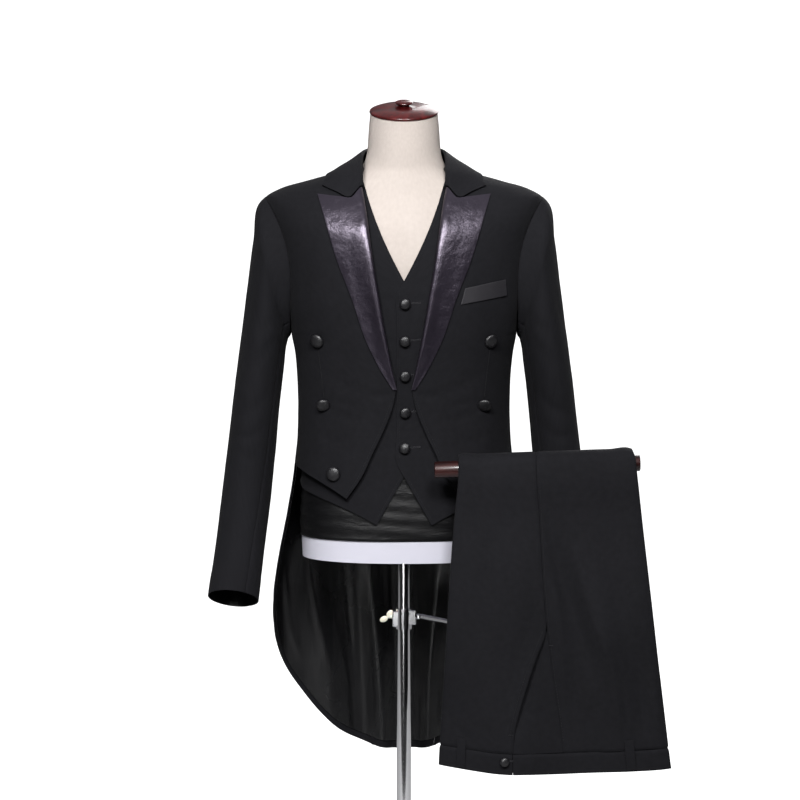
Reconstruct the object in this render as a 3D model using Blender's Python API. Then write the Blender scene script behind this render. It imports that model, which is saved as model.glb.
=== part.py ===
"""A black tailcoat suit: the tailcoat and waistcoat worn by a limbless dress form on a pole stand,
and the trousers folded over a wooden bar on the stand's arm.

Metres, +Z up, the front faces -Y, the origin is the middle of the base's underside.
Cloth is a wall between two faces worked out from body sections: a section is a ring round
the figure at one height, and a place on the cloth is an angle round the ring and a height.
Angle 0 is the centre front, 90 degrees the side and 180 degrees the centre back.
"""

import math
from collections import namedtuple

import bmesh
import bpy
from mathutils import Matrix, Vector
from mathutils.bvhtree import BVHTree

# Stand
BASE_RADIUS = 0.185
BASE_THICKNESS = 0.012
BASE_BOSS_RADIUS = 0.032
BASE_BOSS_HEIGHT = 0.034
POLE_RADIUS = 0.012
FORM_BOTTOM = 0.800
NECK_TOP = 1.526
NECK_TILT = math.radians(16)
CAP_RADIUS = 0.0565
FORM_EASE = 0.0027
CLAMP_HEIGHT = 0.692
ARM_RADIUS = 0.0045
BAR_RADIUS = 0.013
BAR_LEFT = 0.159
BAR_RIGHT = 0.1665
BAR_CENTRE = Vector((0.2070, -0.170, 0.9650))
BAR_SLOPE = 0.035

# Cloth
GAP = 0.0003
SUIT_CLOTH = 0.0020
VEST_CLOTH = 0.0018
LINING_CLOTH = 0.0010
TROUSER_CLOTH = 0.0016
VEST_LOOSE = 0.0066
VEST_SNUG = 0.0024
VEST_LAP = 0.0022
VEST_OVERLAP = 0.012

# Tailcoat
WAIST_SEAM = 0.955
SHOULDER_TOP = 1.436
ARMHOLE_HEIGHT = 1.2785
ARMHOLE_HALF_HEIGHT = 0.1135
ARMHOLE_FRONT = 0.066
ARMHOLE_BACK = 0.070
ARMHOLE_STEP = 18
UNDERARM_FRONT = 144
UNDERARM_BACK = 234
VENT_TOP = 0.925
VENT_LIFT = 0.0030
VENT_ANGLE = 4
SKIRT_COLUMNS = 9

Section = namedtuple("Section", "height half_width front back square middle")

# height, half width, front depth, back depth, squareness, middle of the ring along Y
FORM = [
    Section(0.800, 0.1680, 0.110, 0.108, 2.3, 0),
    Section(0.860, 0.1700, 0.112, 0.112, 2.3, 0),
    Section(0.940, 0.1630, 0.108, 0.106, 2.3, 0),
    Section(1.020, 0.1530, 0.104, 0.098, 2.3, 0),
    Section(1.120, 0.1580, 0.110, 0.100, 2.3, 0),
    Section(1.200, 0.1680, 0.119, 0.106, 2.3, 0),
    Section(1.270, 0.1730, 0.121, 0.110, 2.3, 0),
    Section(1.330, 0.1810, 0.112, 0.110, 2.3, 0),
    Section(1.365, 0.1910, 0.098, 0.104, 2.2, 0),
    Section(1.383, 0.1920, 0.088, 0.096, 2.1, 0),
    Section(1.394, 0.1830, 0.082, 0.091, 2.1, 0),
    Section(1.4060, 0.1740, 0.077, 0.087, 2.0, 0),
    Section(1.4180, 0.1355, 0.072, 0.081, 2.0, 0),
    Section(1.4230, 0.1120, 0.069, 0.078, 2.0, 0),
    Section(1.4280, 0.0910, 0.066, 0.075, 2.0, 0),
    Section(1.4350, 0.0750, 0.062, 0.071, 2.0, 0),
    Section(1.4460, 0.0655, 0.059, 0.067, 2.0, 0),
    Section(1.4650, 0.0600, 0.058, 0.064, 2.0, 0),
    Section(1.5000, 0.0575, 0.056, 0.060, 2.0, 0),
    Section(1.5260, 0.0550, 0.055, 0.057, 2.0, 0),
]
COAT = [
    Section(0.440, 0.2190, 0.080, 0.078, 2.1, 0.060),
    Section(0.600, 0.2190, 0.090, 0.092, 2.1, 0.044),
    Section(0.720, 0.2180, 0.100, 0.110, 2.1, 0.025),
    Section(0.776, 0.2115, 0.110, 0.118, 2.2, 0.013),
    Section(0.830, 0.2010, 0.120, 0.122, 2.2, 0.006),
    Section(0.883, 0.1910, 0.128, 0.122, 2.3, 0.001),
    Section(0.920, 0.1845, 0.127, 0.120, 2.3, 0),
    Section(0.955, 0.1800, 0.125, 0.118, 2.3, 0),
    Section(0.990, 0.1767, 0.122, 0.115, 2.3, 0),
    Section(1.040, 0.1749, 0.1195, 0.111, 2.3, 0),
    Section(1.080, 0.1755, 0.1200, 0.111, 2.3, 0),
    Section(1.130, 0.1790, 0.1245, 0.114, 2.3, 0),
    Section(1.175, 0.1870, 0.130, 0.119, 2.35, 0),
    Section(1.220, 0.1970, 0.134, 0.123, 2.35, 0),
    Section(1.280, 0.2030, 0.136, 0.126, 2.35, 0),
    Section(1.330, 0.2120, 0.130, 0.126, 2.35, 0),
    Section(1.360, 0.2220, 0.117, 0.121, 2.3, 0),
    Section(1.385, 0.2285, 0.101, 0.112, 2.2, 0),
    Section(1.398, 0.2194, 0.093, 0.105, 2.1, 0),
    Section(1.411, 0.1770, 0.087, 0.099, 2.0, 0),
    Section(1.4235, 0.1375, 0.081, 0.091, 2.0, 0),
    Section(1.4285, 0.1130, 0.077, 0.086, 2.0, 0),
    Section(1.4330, 0.0950, 0.0735, 0.0815, 2.0, 0),
    Section(1.4385, 0.0820, 0.070, 0.077, 2.0, 0),
    Section(1.4500, 0.0730, 0.066, 0.073, 2.0, 0),
]

Edge = namedtuple("Edge", "height reach")

# The coat's front edge up to where the fronts nearly meet, then its roll line and its neckline
COAT_EDGE = [
    Edge(0.9060, 0.0925), Edge(0.9386, 0.0700), Edge(0.9958, 0.0434), Edge(1.0244, 0.0295),
    Edge(1.0531, 0.0190), Edge(1.0760, 0.0112), Edge(1.1167, 0.0189), Edge(1.1443, 0.0240),
    Edge(1.1778, 0.0304), Edge(1.2280, 0.0386), Edge(1.2623, 0.0446), Edge(1.3089, 0.0517),
    Edge(1.3594, 0.0588), Edge(1.4035, 0.0666), Edge(1.4360, 0.0745),
]
LAPEL_EDGE = [
    Edge(1.0800, 0.0150), Edge(1.1108, 0.0352), Edge(1.1513, 0.0554), Edge(1.1692, 0.0630),
    Edge(1.2361, 0.0851), Edge(1.2766, 0.1012), Edge(1.3190, 0.1153), Edge(1.3594, 0.1274),
    Edge(1.3936, 0.1383),
]
VEST_EDGE = [
    Edge(0.8630, 0.0435), Edge(0.9030, 0.0215), Edge(0.9413, 0.0000), Edge(0.9640, -VEST_OVERLAP),
    Edge(1.0000, -VEST_OVERLAP), Edge(1.2000, -VEST_OVERLAP), Edge(1.2330, -VEST_OVERLAP),
    Edge(1.2567, 0.0000), Edge(1.3060, 0.0256), Edge(1.3738, 0.0532), Edge(1.4138, 0.0653),
    Edge(1.4300, 0.0720),
]
VEST_ARMHOLE = [
    Edge(1.1500, 0.1640), Edge(1.1750, 0.1620), Edge(1.2000, 0.1500), Edge(1.2400, 0.1390),
    Edge(1.2800, 0.1320), Edge(1.3400, 0.1280), Edge(1.3850, 0.1320), Edge(1.4150, 0.1380),
]

Hem = namedtuple("Hem", "reach height")

COAT_FRONT_HEM = [Hem(0.0925, 0.9060), Hem(0.1373, 0.9373), Hem(0.1577, 0.9490), Hem(0.1800, 0.9550)]
VEST_HEM = [Hem(0.0435, 0.8630), Hem(0.1270, 0.9051), Hem(0.1526, 0.9148), Hem(0.1700, 0.9200)]
TAIL_HEM = [
    Hem(0.0000, 0.4410), Hem(0.0300, 0.4425), Hem(0.0579, 0.4490), Hem(0.1109, 0.4775),
    Hem(0.1433, 0.5080), Hem(0.1654, 0.5376), Hem(0.1841, 0.5674), Hem(0.1977, 0.5950),
    Hem(0.2095, 0.6260), Hem(0.2162, 0.6620), Hem(0.2190, 0.7050),
]

# Where the back's side seam runs, from the tail's hem to the armhole, as an angle round the ring
SeamPoint = namedtuple("SeamPoint", "height angle")
BACK_SEAM = [
    SeamPoint(0.440, 146), SeamPoint(0.700, 149), SeamPoint(0.955, 152), SeamPoint(1.040, 148),
    SeamPoint(1.120, 136), SeamPoint(1.2118, 107.6),
]

# Heights shared by the side body and the back, up the seam between them
SIDE_ROWS = [0.995, 1.050, 1.100, 1.145, 1.180, 1.2118]
# Rows of the tails, as shares of the way from the hem to the vent's top
TAIL_ROWS = [0.0, 0.07, 0.18, 0.32, 0.48, 0.65, 0.83, 1.0]

# Soft flutes of the tails: middle and spread round the ring, how far they stand in, and the side
Flute = namedtuple("Flute", "angle spread depth side")
FLUTES = [
    Flute(103, 8, 0.007, -1), Flute(120, 9, -0.011, -1), Flute(137, 9, 0.010, -1), Flute(155, 8, -0.008, -1),
    Flute(101, 8, 0.006, 1), Flute(118, 9, -0.010, 1), Flute(134, 8, 0.011, 1), Flute(153, 9, -0.009, 1),
]
FLUTE_TOP = 0.900
FLUTE_FULL = 0.560

# The sleeve's rings, from the shoulder to the cuff: the point under the arm, the outer point,
# the ring's middle along Y, half its depth, and its tilt towards the front
Ring = namedtuple("Ring", "under_x under_z outer_x outer_z middle_y half_depth tilt")
SLEEVE = [
    Ring(0.1900, 1.1590, 0.2340, 1.3840, 0.001, 0.0690, 0),
    Ring(0.1905, 1.1580, 0.2435, 1.3450, 0.001, 0.0710, 0),
    Ring(0.1910, 1.1565, 0.2500, 1.2950, 0.001, 0.0730, 0),
    Ring(0.1915, 1.1545, 0.2570, 1.2430, 0.001, 0.0740, 0),
    Ring(0.1925, 1.1515, 0.2635, 1.1960, 0.001, 0.0740, 0),
    Ring(0.1940, 1.1420, 0.2685, 1.1560, 0.001, 0.0730, 0),
    Ring(0.1970, 1.1170, 0.2735, 1.1200, 0.000, 0.0710, 0),
    Ring(0.2015, 1.0825, 0.2786, 1.0825, -0.001, 0.0680, 1),
    Ring(0.2066, 1.0295, 0.2845, 1.0295, -0.002, 0.0640, 2),
    Ring(0.2116, 0.9764, 0.2910, 0.9764, -0.005, 0.0605, 5),
    Ring(0.2168, 0.9231, 0.2977, 0.9231, -0.012, 0.0580, 9),
    Ring(0.2221, 0.8698, 0.3035, 0.8698, -0.024, 0.0555, 13),
    Ring(0.2289, 0.8163, 0.3098, 0.8163, -0.038, 0.0530, 17),
    Ring(0.2342, 0.7700, 0.3170, 0.7720, -0.054, 0.0510, 21),
    Ring(0.2378, 0.7330, 0.3200, 0.7400, -0.068, 0.0495, 25),
]
CUFF_FRONT_SEAM = 124

# The trousers' outline in front of the bar and behind it, and their side seam
Outline = namedtuple("Outline", "height left right")
TROUSER_FRONT = [
    Outline(0.480, 0.0545, 0.4260), Outline(0.520, 0.0563, 0.4205), Outline(0.620, 0.0620, 0.4080),
    Outline(0.730, 0.0680, 0.3950), Outline(0.855, 0.0755, 0.3800), Outline(0.980, 0.0855, 0.3655),
]
TROUSER_BACK = [
    Outline(0.500, 0.1500, 0.3550), Outline(0.690, 0.1450, 0.3590), Outline(0.850, 0.1150, 0.3640),
    Outline(0.980, 0.0855, 0.3655),
]
SIDE_SEAM = [
    Edge(0.480, 0.2535), Edge(0.520, 0.2510), Edge(0.571, 0.2445), Edge(0.637, 0.2350),
    Edge(0.710, 0.2260), Edge(0.767, 0.2210), Edge(0.906, 0.2125), Edge(0.998, 0.2080),
]
POCKET = [Edge(0.480, 0.1715), Edge(0.546, 0.1757), Edge(0.597, 0.1880), Edge(0.652, 0.2055), Edge(0.708, 0.2262)]
WAIST_EDGE = [Hem(0.0545, 0.4905), Hem(0.1750, 0.4750), Hem(0.4260, 0.4840)]
WAISTBAND = 0.0340
TROUSER_HEM = 0.500
FAR_LEG = (0.0010, 0.0044)
NEAR_LEG_IN = 0.0052
NEAR_LEG_OUT = 0.0108

# Buttons: reach from the centre, height, how far each droops and turns
Button = namedtuple("Button", "reach height droop turn")
COAT_BUTTONS = [Button(0.1385, 1.1606, 10, 8), Button(0.1290, 1.0573, 34, 30), Button(0.1122, 0.9465, 16, 12)]
VEST_BUTTONS = [Button(0.0015, h, d, t) for h, d, t in (
    (1.2214, 6, 8), (1.1628, 8, -6), (1.1057, 5, 10), (1.0468, 12, 14), (0.9880, 4, -10))]
COAT_BUTTON_RADIUS = 0.0115
VEST_BUTTON_RADIUS = 0.0088

# The breast welt, on the wearer's left
WELT = {"left": 0.0900, "right": 0.1640, "low_left": 1.2192, "low_right": 1.2323, "width": 0.0260}

COLOURS = {
    "suit_cloth": ((0.018, 0.017, 0.020, 1), 0.85, 0.0),
    "satin": ((0.060, 0.055, 0.066, 1), 0.35, 0.0),
    "lining": ((0.016, 0.016, 0.019, 1), 0.40, 0.0),
    "form_linen": ((0.72, 0.66, 0.60, 1), 0.80, 0.0),
    "hip_cloth": ((0.016, 0.016, 0.017, 1), 0.75, 0.0),
    "mahogany": ((0.060, 0.008, 0.008, 1), 0.18, 0.0),
    "chrome": ((0.72, 0.72, 0.74, 1), 0.12, 1.0),
    "cream_plastic": ((0.78, 0.76, 0.68, 1), 0.35, 0.0),
}


def material(slot):
    found = bpy.data.materials.get(slot)
    if found:
        return found
    colour, roughness, metallic = COLOURS[slot]
    made = bpy.data.materials.new(slot)
    made.use_nodes = True
    shader = made.node_tree.nodes["Principled BSDF"]
    shader.inputs["Base Color"].default_value = colour
    shader.inputs["Roughness"].default_value = roughness
    shader.inputs["Metallic"].default_value = metallic
    return made


def mix(a, b, t):
    return a + (b - a) * t


def ease(t):
    """0 below 0, 1 above 1 and a smooth step between."""
    t = min(max(t, 0.0), 1.0)
    return t * t * (3 - 2 * t)


def slope_at(xs, ys, i):
    """The slope of a smooth curve at one of its points, flat at a turn, so that it never overshoots."""
    if i == 0 or i == len(xs) - 1:
        j = min(i, len(xs) - 2)
        return (ys[j + 1] - ys[j]) / (xs[j + 1] - xs[j])
    before = (ys[i] - ys[i - 1]) / (xs[i] - xs[i - 1])
    after = (ys[i + 1] - ys[i]) / (xs[i + 1] - xs[i])
    return 0.0 if before * after <= 0 else 2 * before * after / (before + after)


def smooth(table, x, column, key=0):
    """The value of a table's column at x, along a smooth curve through its rows."""
    xs = [row[key] for row in table]
    ys = [row[column] for row in table]
    if x <= xs[0]:
        return ys[0] + slope_at(xs, ys, 0) * (x - xs[0])
    if x >= xs[-1]:
        return ys[-1] + slope_at(xs, ys, len(xs) - 1) * (x - xs[-1])
    i = max(k for k in range(len(xs) - 1) if xs[k] <= x)
    span = xs[i + 1] - xs[i]
    t = (x - xs[i]) / span
    start, end = slope_at(xs, ys, i) * span, slope_at(xs, ys, i + 1) * span
    return (
        ys[i] * (2 * t**3 - 3 * t**2 + 1) + start * (t**3 - 2 * t**2 + t)
        + ys[i + 1] * (3 * t**2 - 2 * t**3) + end * (t**3 - t**2)
    )


class Figure:
    """A body made of sections. A point on it is an angle in degrees round the ring and a height."""

    def __init__(self, sections):
        self.sections = sections

    def ring(self, height):
        return Section(height, *(smooth(self.sections, height, c) for c in range(1, 6)))

    def point(self, angle, height):
        ring = self.ring(height)
        across, along = math.sin(math.radians(angle)), math.cos(math.radians(angle))
        depth = ring.front if along > 0 else ring.back
        n = ring.square
        radius = ((abs(across) / ring.half_width) ** n + (abs(along) / depth) ** n) ** (-1 / n)
        return Vector((radius * across, ring.middle - radius * along, height))

    def normal(self, angle, height):
        round_it = self.point(angle + 0.4, height) - self.point(angle - 0.4, height)
        up = self.point(angle, height + 0.0004) - self.point(angle, height - 0.0004)
        return round_it.cross(up).normalized()

    def at(self, side, angle, height, out=0.0):
        """The point on the side of the figure that side's sign names, out from its surface."""
        p = self.point(angle, height) + self.normal(angle, height) * out
        return Vector((side * p.x, p.y, p.z))

    def angle_for(self, height, reach=None, depth=None, back=False):
        """The angle at which the ring has that reach from the centre line, or that depth along Y."""
        low, high = (90.0, 180.0) if back else (0.0, 90.0)
        for _ in range(40):
            middle = (low + high) / 2
            p = self.point(middle, height)
            past = p.x > reach if reach is not None else p.y > depth
            if back and reach is not None:
                past = not past
            low, high = (low, middle) if past else (middle, high)
        return (low + high) / 2


form = Figure(FORM)
coat = Figure(COAT)


def new_object(name, mesh, slot, smooth_angle=35):
    made = bpy.data.objects.new(name, mesh)
    bpy.context.scene.collection.objects.link(made)
    mesh.materials.append(material(slot))
    mesh.shade_smooth()
    mesh.set_sharp_from_angle(angle=math.radians(smooth_angle))
    return made


def wall(name, slot, columns, rows, place):
    """A cloth wall: a grid extruded into a slab, whose two faces are then put in place.

    place(column, row, face) is the point of the outer face, face 0, or of the inner one, face 1.
    """
    slab = bmesh.new()
    bmesh.ops.create_grid(slab, x_segments=columns, y_segments=rows, size=0.5)
    for v in slab.verts:
        v.co = Vector((round((v.co.x + 0.5) * columns), round((v.co.y + 0.5) * rows), 0))
    inner = bmesh.ops.extrude_face_region(slab, geom=slab.faces[:], use_keep_orig=True)["geom"]
    for v in (g for g in inner if isinstance(g, bmesh.types.BMVert)):
        v.co.z = 1
    for v in slab.verts:
        v.co = place(int(v.co.x), int(v.co.y), int(v.co.z))
    bmesh.ops.recalc_face_normals(slab, faces=slab.faces[:])
    if slab.calc_volume(signed=True) < 0:
        bmesh.ops.reverse_faces(slab, faces=slab.faces[:])
    mesh = bpy.data.meshes.new(name)
    slab.to_mesh(mesh)
    slab.free()
    return new_object(name, mesh, slot)


def turned(name, slot, profile, segments, place=None, smooth_angle=35):
    """A turned piece. The profile runs from the axis at the bottom round to the axis at the top."""
    lathe = bmesh.new()
    verts = [lathe.verts.new((r, 0, z)) for r, z in profile]
    edges = [lathe.edges.new(pair) for pair in zip(verts, verts[1:])]
    bmesh.ops.spin(
        lathe, geom=verts + edges, cent=(0, 0, 0), axis=(0, 0, 1),
        angle=math.tau, steps=segments, use_merge=True,
    )
    bmesh.ops.remove_doubles(lathe, verts=lathe.verts[:], dist=1e-6)
    bmesh.ops.recalc_face_normals(lathe, faces=lathe.faces[:])
    if place:
        bmesh.ops.transform(lathe, matrix=place, verts=lathe.verts[:])
    mesh = bpy.data.meshes.new(name)
    lathe.to_mesh(mesh)
    lathe.free()
    return new_object(name, mesh, slot, smooth_angle)


# The stand and the dress form

def make_stand():
    rim = 0.003
    turned("base_plate", "chrome", [
        (0, 0), (BASE_RADIUS - rim, 0), (BASE_RADIUS, rim), (BASE_RADIUS, BASE_THICKNESS - rim),
        (BASE_RADIUS - rim, BASE_THICKNESS), (BASE_BOSS_RADIUS, BASE_THICKNESS + 0.002),
        (BASE_BOSS_RADIUS - 0.008, BASE_BOSS_HEIGHT), (0, BASE_BOSS_HEIGHT),
    ], 30)
    foot, top = BASE_BOSS_HEIGHT + GAP, FORM_BOTTOM - GAP
    turned("pole", "chrome", [(0, foot), (POLE_RADIUS, foot), (POLE_RADIUS, top), (0, top)], 20)


def form_point(angle, height):
    """A point of the dress form, a little inside its sections under the clothes. Its neck slopes forwards."""
    p = form.point(angle, height)
    covered = ease((height - 0.97) / 0.04) * ease((1.445 - height) / 0.01)
    p -= form.normal(angle, height) * (FORM_EASE * covered)
    tilt = ease((height - 1.46) / (NECK_TOP - 1.46))
    return p + Vector((0, 0, p.y * math.tan(NECK_TILT) * tilt))


def make_form():
    around = 24
    body = bmesh.new()
    rings = []
    for section in FORM:
        ring = [form_point(360 * i / around, section.height) for i in range(around)]
        for p, i in zip(ring, range(around)):
            p.x = abs(p.x) * (1 if i < around / 2 else -1) if i not in (0, around // 2) else 0
        rings.append([body.verts.new(p) for p in ring])
    for low, high in zip(rings, rings[1:]):
        edges = [body.edges.get((a, b)) or body.edges.new((a, b)) for r in (low, high)
                 for a, b in zip(r, r[1:] + r[:1])]
        bmesh.ops.bridge_loops(body, edges=edges)
    for ring in (rings[0], rings[-1]):
        bmesh.ops.contextual_create(body, geom=ring)
    bmesh.ops.recalc_face_normals(body, faces=body.faces[:])
    mesh = bpy.data.meshes.new("dress_form")
    body.to_mesh(mesh)
    body.free()
    new_object("dress_form", mesh, "form_linen", 50)


def make_neck_cap():
    under = GAP + 0.0002
    profile = [
        (0, under), (CAP_RADIUS - 0.003, under), (CAP_RADIUS, under + 0.0025), (CAP_RADIUS - 0.002, under + 0.005),
        (0.044, under + 0.0090), (0.022, under + 0.0115), (0.0090, under + 0.0125),
        (0.0145, under + 0.0170), (0.0125, under + 0.0195), (0, under + 0.0205),
    ]
    place = Matrix.Translation((0, 0.001, NECK_TOP)) @ Matrix.Rotation(NECK_TILT, 4, "X")
    turned("neck_cap", "mahogany", profile, 24, place)


def make_hip_band():
    """The black band round the form's hips, below the waistcoat."""
    heights = [0.8365, 0.860, 0.905, 0.950]
    around, rows = 24, len(heights) - 1
    band = bmesh.new()
    faces = {}
    for face, out in ((0, 0.0016), (1, 0.0004)):
        for j in range(rows + 1):
            for i in range(around):
                angle = 360 * i / around
                side = 1 if angle <= 180 else -1
                p = form.at(side, min(angle, 360 - angle), heights[j], out)
                faces[face, i, j] = band.verts.new(p)
    for j in range(rows):
        for i in range(around):
            k = (i + 1) % around
            for face in (0, 1):
                band.faces.new([faces[face, a, b] for a, b in ((i, j), (k, j), (k, j + 1), (i, j + 1))])
    for j in (0, rows):
        for i in range(around):
            k = (i + 1) % around
            band.faces.new([faces[0, i, j], faces[0, k, j], faces[1, k, j], faces[1, i, j]])
    bmesh.ops.recalc_face_normals(band, faces=band.faces[:])
    mesh = bpy.data.meshes.new("hip_band")
    band.to_mesh(mesh)
    band.free()
    new_object("hip_band", mesh, "hip_cloth")


def solid_box(name, slot, centre, size, bevel=0.0015):
    box = bmesh.new()
    bmesh.ops.create_cube(box, size=1)
    bmesh.ops.scale(box, vec=size, verts=box.verts[:])
    bmesh.ops.bevel(box, geom=box.edges[:], offset=bevel, segments=1, profile=0.5, affect="EDGES", material=-1)
    bmesh.ops.translate(box, vec=centre, verts=box.verts[:])
    mesh = bpy.data.meshes.new(name)
    box.to_mesh(mesh)
    box.free()
    return new_object(name, mesh, slot)


def join(target, others, operation="UNION"):
    for other in others:
        step = target.modifiers.new(other.name, "BOOLEAN")
        step.operation = operation
        step.object = other
        step.solver = "EXACT"
        other.hide_render = True
        other.display_type = "WIRE"


def make_clamp():
    """The split collar on the pole, its wing screw on one ear and the trouser arm on the other."""
    ring, half = POLE_RADIUS + 0.0030, 0.017
    collar = turned("arm_clamp", "chrome", [
        (0, -half), (ring, -half), (ring, half), (0, half),
    ], 24, Matrix.Translation((0, 0, CLAMP_HEIGHT)))
    left = solid_box("clamp_ear_left", "chrome", (-0.0135, -0.004, CLAMP_HEIGHT), (0.011, 0.014, 0.026))
    right = solid_box("clamp_ear_right", "chrome", (0.0140, -0.005, CLAMP_HEIGHT + 0.003), (0.012, 0.015, 0.024))
    bore = turned("clamp_bore", "chrome", [
        (0, -0.05), (POLE_RADIUS + GAP, -0.05), (POLE_RADIUS + GAP, 0.05), (0, 0.05),
    ], 20, Matrix.Translation((0, 0, CLAMP_HEIGHT)))
    join(collar, [left, right])
    join(collar, [bore], "DIFFERENCE")

    place = (
        Matrix.Translation((-0.0190 - GAP, -0.004, CLAMP_HEIGHT + 0.004))
        @ Matrix.Rotation(math.radians(-90), 4, "Y")
        @ Matrix.Rotation(math.radians(35), 4, "Z")
    )
    hub = turned("wing_screw", "cream_plastic", [
        (0, 0), (0.0045, 0), (0.0050, 0.006), (0.0040, 0.010), (0, 0.0105),
    ], 12, place)
    wings = bmesh.new()
    bmesh.ops.create_uvsphere(wings, u_segments=8, v_segments=6, radius=1)
    bmesh.ops.scale(wings, vec=(0.0135, 0.0032, 0.0052), verts=wings.verts[:])
    bmesh.ops.translate(wings, vec=(0, 0, 0.0085), verts=wings.verts[:])
    bmesh.ops.transform(wings, matrix=place, verts=wings.verts[:])
    mesh = bpy.data.meshes.new("wing")
    wings.to_mesh(mesh)
    wings.free()
    join(hub, [new_object("wing", mesh, "cream_plastic")])


def spline_through(points, per_span):
    """Points along a smooth curve through the given ones."""
    padded = [points[0] * 2 - points[1], *points, points[-1] * 2 - points[-2]]
    made = []
    for a, b, c, d in zip(padded, padded[1:], padded[2:], padded[3:]):
        for i in range(per_span):
            t = i / per_span
            made.append(0.5 * (2 * b + (c - a) * t + (2 * a - 5 * b + 4 * c - d) * t**2
                               + (3 * b - a - 3 * c + d) * t**3))
    return [*made, points[-1]]


def rod(name, slot, points, radius, sides):
    """A round rod along the points, with flat ends."""
    body = bmesh.new()
    rings = []
    across = Vector((0, 1, 0))
    for i, p in enumerate(points):
        along = (points[min(i + 1, len(points) - 1)] - points[max(i - 1, 0)]).normalized()
        across = (across - along * across.dot(along)).normalized()
        up = along.cross(across)
        turns = [math.tau * k / sides for k in range(sides)]
        rings.append([body.verts.new(p + (across * math.cos(t) + up * math.sin(t)) * radius) for t in turns])
    for low, high in zip(rings, rings[1:]):
        for i in range(sides):
            k = (i + 1) % sides
            body.faces.new([low[i], low[k], high[k], high[i]])
    for ring in (rings[0], rings[-1]):
        body.faces.new(ring)
    bmesh.ops.recalc_face_normals(body, faces=body.faces[:])
    mesh = bpy.data.meshes.new(name)
    body.to_mesh(mesh)
    body.free()
    return new_object(name, mesh, slot, 60)


def make_arm():
    """The bent rod that carries the trouser bar: it passes the back of the fold and rises inside it."""
    bar_under = BAR_CENTRE.z - BAR_RADIUS - 2 * GAP
    x, y = BAR_CENTRE.x, BAR_CENTRE.y
    level = CLAMP_HEIGHT + 0.004
    route = [
        Vector(p) for p in (
            (0.0206, -0.0055, level), (0.0250, -0.0055, level), (0.0300, -0.0075, level),
            (0.0450, -0.0200, level - 0.001),
            (0.0750, -0.0480, level - 0.002),
            (0.0980, -0.0860, level - 0.003), (0.1130, -0.1290, level - 0.003), (0.1400, -0.1620, level - 0.003),
            (x - 0.030, y, level - 0.003), (x - 0.008, y, level + 0.004), (x, y, level + 0.028),
            (x, y, level + 0.120), (x, y, bar_under),
        )
    ]
    rod("trouser_arm", "chrome", spline_through(route, 2), ARM_RADIUS, 7)


def make_bar():
    soft = 0.0015
    place = Matrix.Translation(BAR_CENTRE) @ Matrix.Rotation(math.radians(90) - math.atan(BAR_SLOPE), 4, "Y")
    turned("trouser_bar", "mahogany", [
        (0, -BAR_LEFT), (BAR_RADIUS - soft, -BAR_LEFT), (BAR_RADIUS, soft - BAR_LEFT),
        (BAR_RADIUS, BAR_RIGHT - soft), (BAR_RADIUS - soft, BAR_RIGHT), (0, BAR_RIGHT),
    ], 24, place)


# The tailcoat

def side_name(base, side):
    """The wearer's right is at -X and the left at +X."""
    return base + ("_r" if side < 0 else "_l")


def armhole(turn):
    """(angle, height) of the armhole's edge. Turn 0 is the shoulder, 90 the front, 180 under the arm."""
    turn = math.radians(turn)
    height = ARMHOLE_HEIGHT + ARMHOLE_HALF_HEIGHT * math.cos(turn)
    reach = math.sin(turn)
    depth = -reach * (ARMHOLE_FRONT if reach > 0 else ARMHOLE_BACK)
    if abs(depth) < 1e-6:
        return 90.0, height
    return coat.angle_for(height, depth=depth, back=depth > 0), height


def coat_front_column(height):
    """The angle of the front edge, of the roll line or of the neckline at a height."""
    return coat.angle_for(height, reach=smooth(COAT_EDGE, height, 1))


def flute(side, angle, height):
    """How far the tails' flutes stand out there."""
    grown = ease((FLUTE_TOP - height) / (FLUTE_TOP - FLUTE_FULL)) * ease((174 - angle) / 10)
    return grown * sum(
        f.depth * math.exp(-(((angle - f.angle) / f.spread) ** 2)) for f in FLUTES if f.side == side
    )


def vent_lift(side, angle, height):
    """The wearer's left tail laps over the right one at the vent."""
    if side < 0:
        return 0.0
    lowered = ease((WAIST_SEAM - height) / (WAIST_SEAM - VENT_TOP))
    return VENT_LIFT * lowered * ease((angle - 156) / 14)


def tail(side, angle, height, out):
    past = angle > 180
    p = coat.point(360 - angle if past else angle, height)
    n = coat.normal(360 - angle if past else angle, height)
    q = p + n * (out + flute(side, min(angle, 360 - angle), height) + vent_lift(side, angle, height))
    return Vector((side * (-q.x if past else q.x), q.y, q.z))


def hem_of_tail(angle):
    """The height of the tail's rounded hem at an angle."""
    height = 0.60
    for _ in range(12):
        reach = coat.point(angle, height).x
        height = mix(height, smooth(TAIL_HEM, max(reach, 0.0), 1), 0.7)
    return height


def rows_above_armpit():
    """Heights of the cloth's rows from under the arm up to the neck."""
    turns = range(180 - ARMHOLE_STEP, -1, -ARMHOLE_STEP)
    return [armhole(t)[1] for t in turns] + [1.404, 1.416, 1.427, SHOULDER_TOP]


def make_coat_front(side):
    armpit = armhole(180)[1]
    below, columns = 7, 7
    above = rows_above_armpit()
    steps = 180 // ARMHOLE_STEP

    def place(column, row, face):
        t = column / columns
        if row <= below:
            side_x = coat.point(90, 0.95).x
            reach = mix(COAT_EDGE[0].reach, side_x, t)
            height = mix(smooth(COAT_FRONT_HEM, reach, 1), armpit, row / below)
            last = 90.0
        else:
            height = above[row - below - 1]
            turn = 180 - ARMHOLE_STEP * (row - below)
            last = armhole(turn)[0] if row - below < steps else 90.0
        seam = 0.12 if row <= below or row - below >= steps else 0.0
        angle = mix(coat_front_column(height), last - seam, t)
        return coat.at(side, angle, height, -SUIT_CLOTH * face)

    wall(side_name("coat_front", side), "suit_cloth", columns, below + len(above), place)


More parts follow.
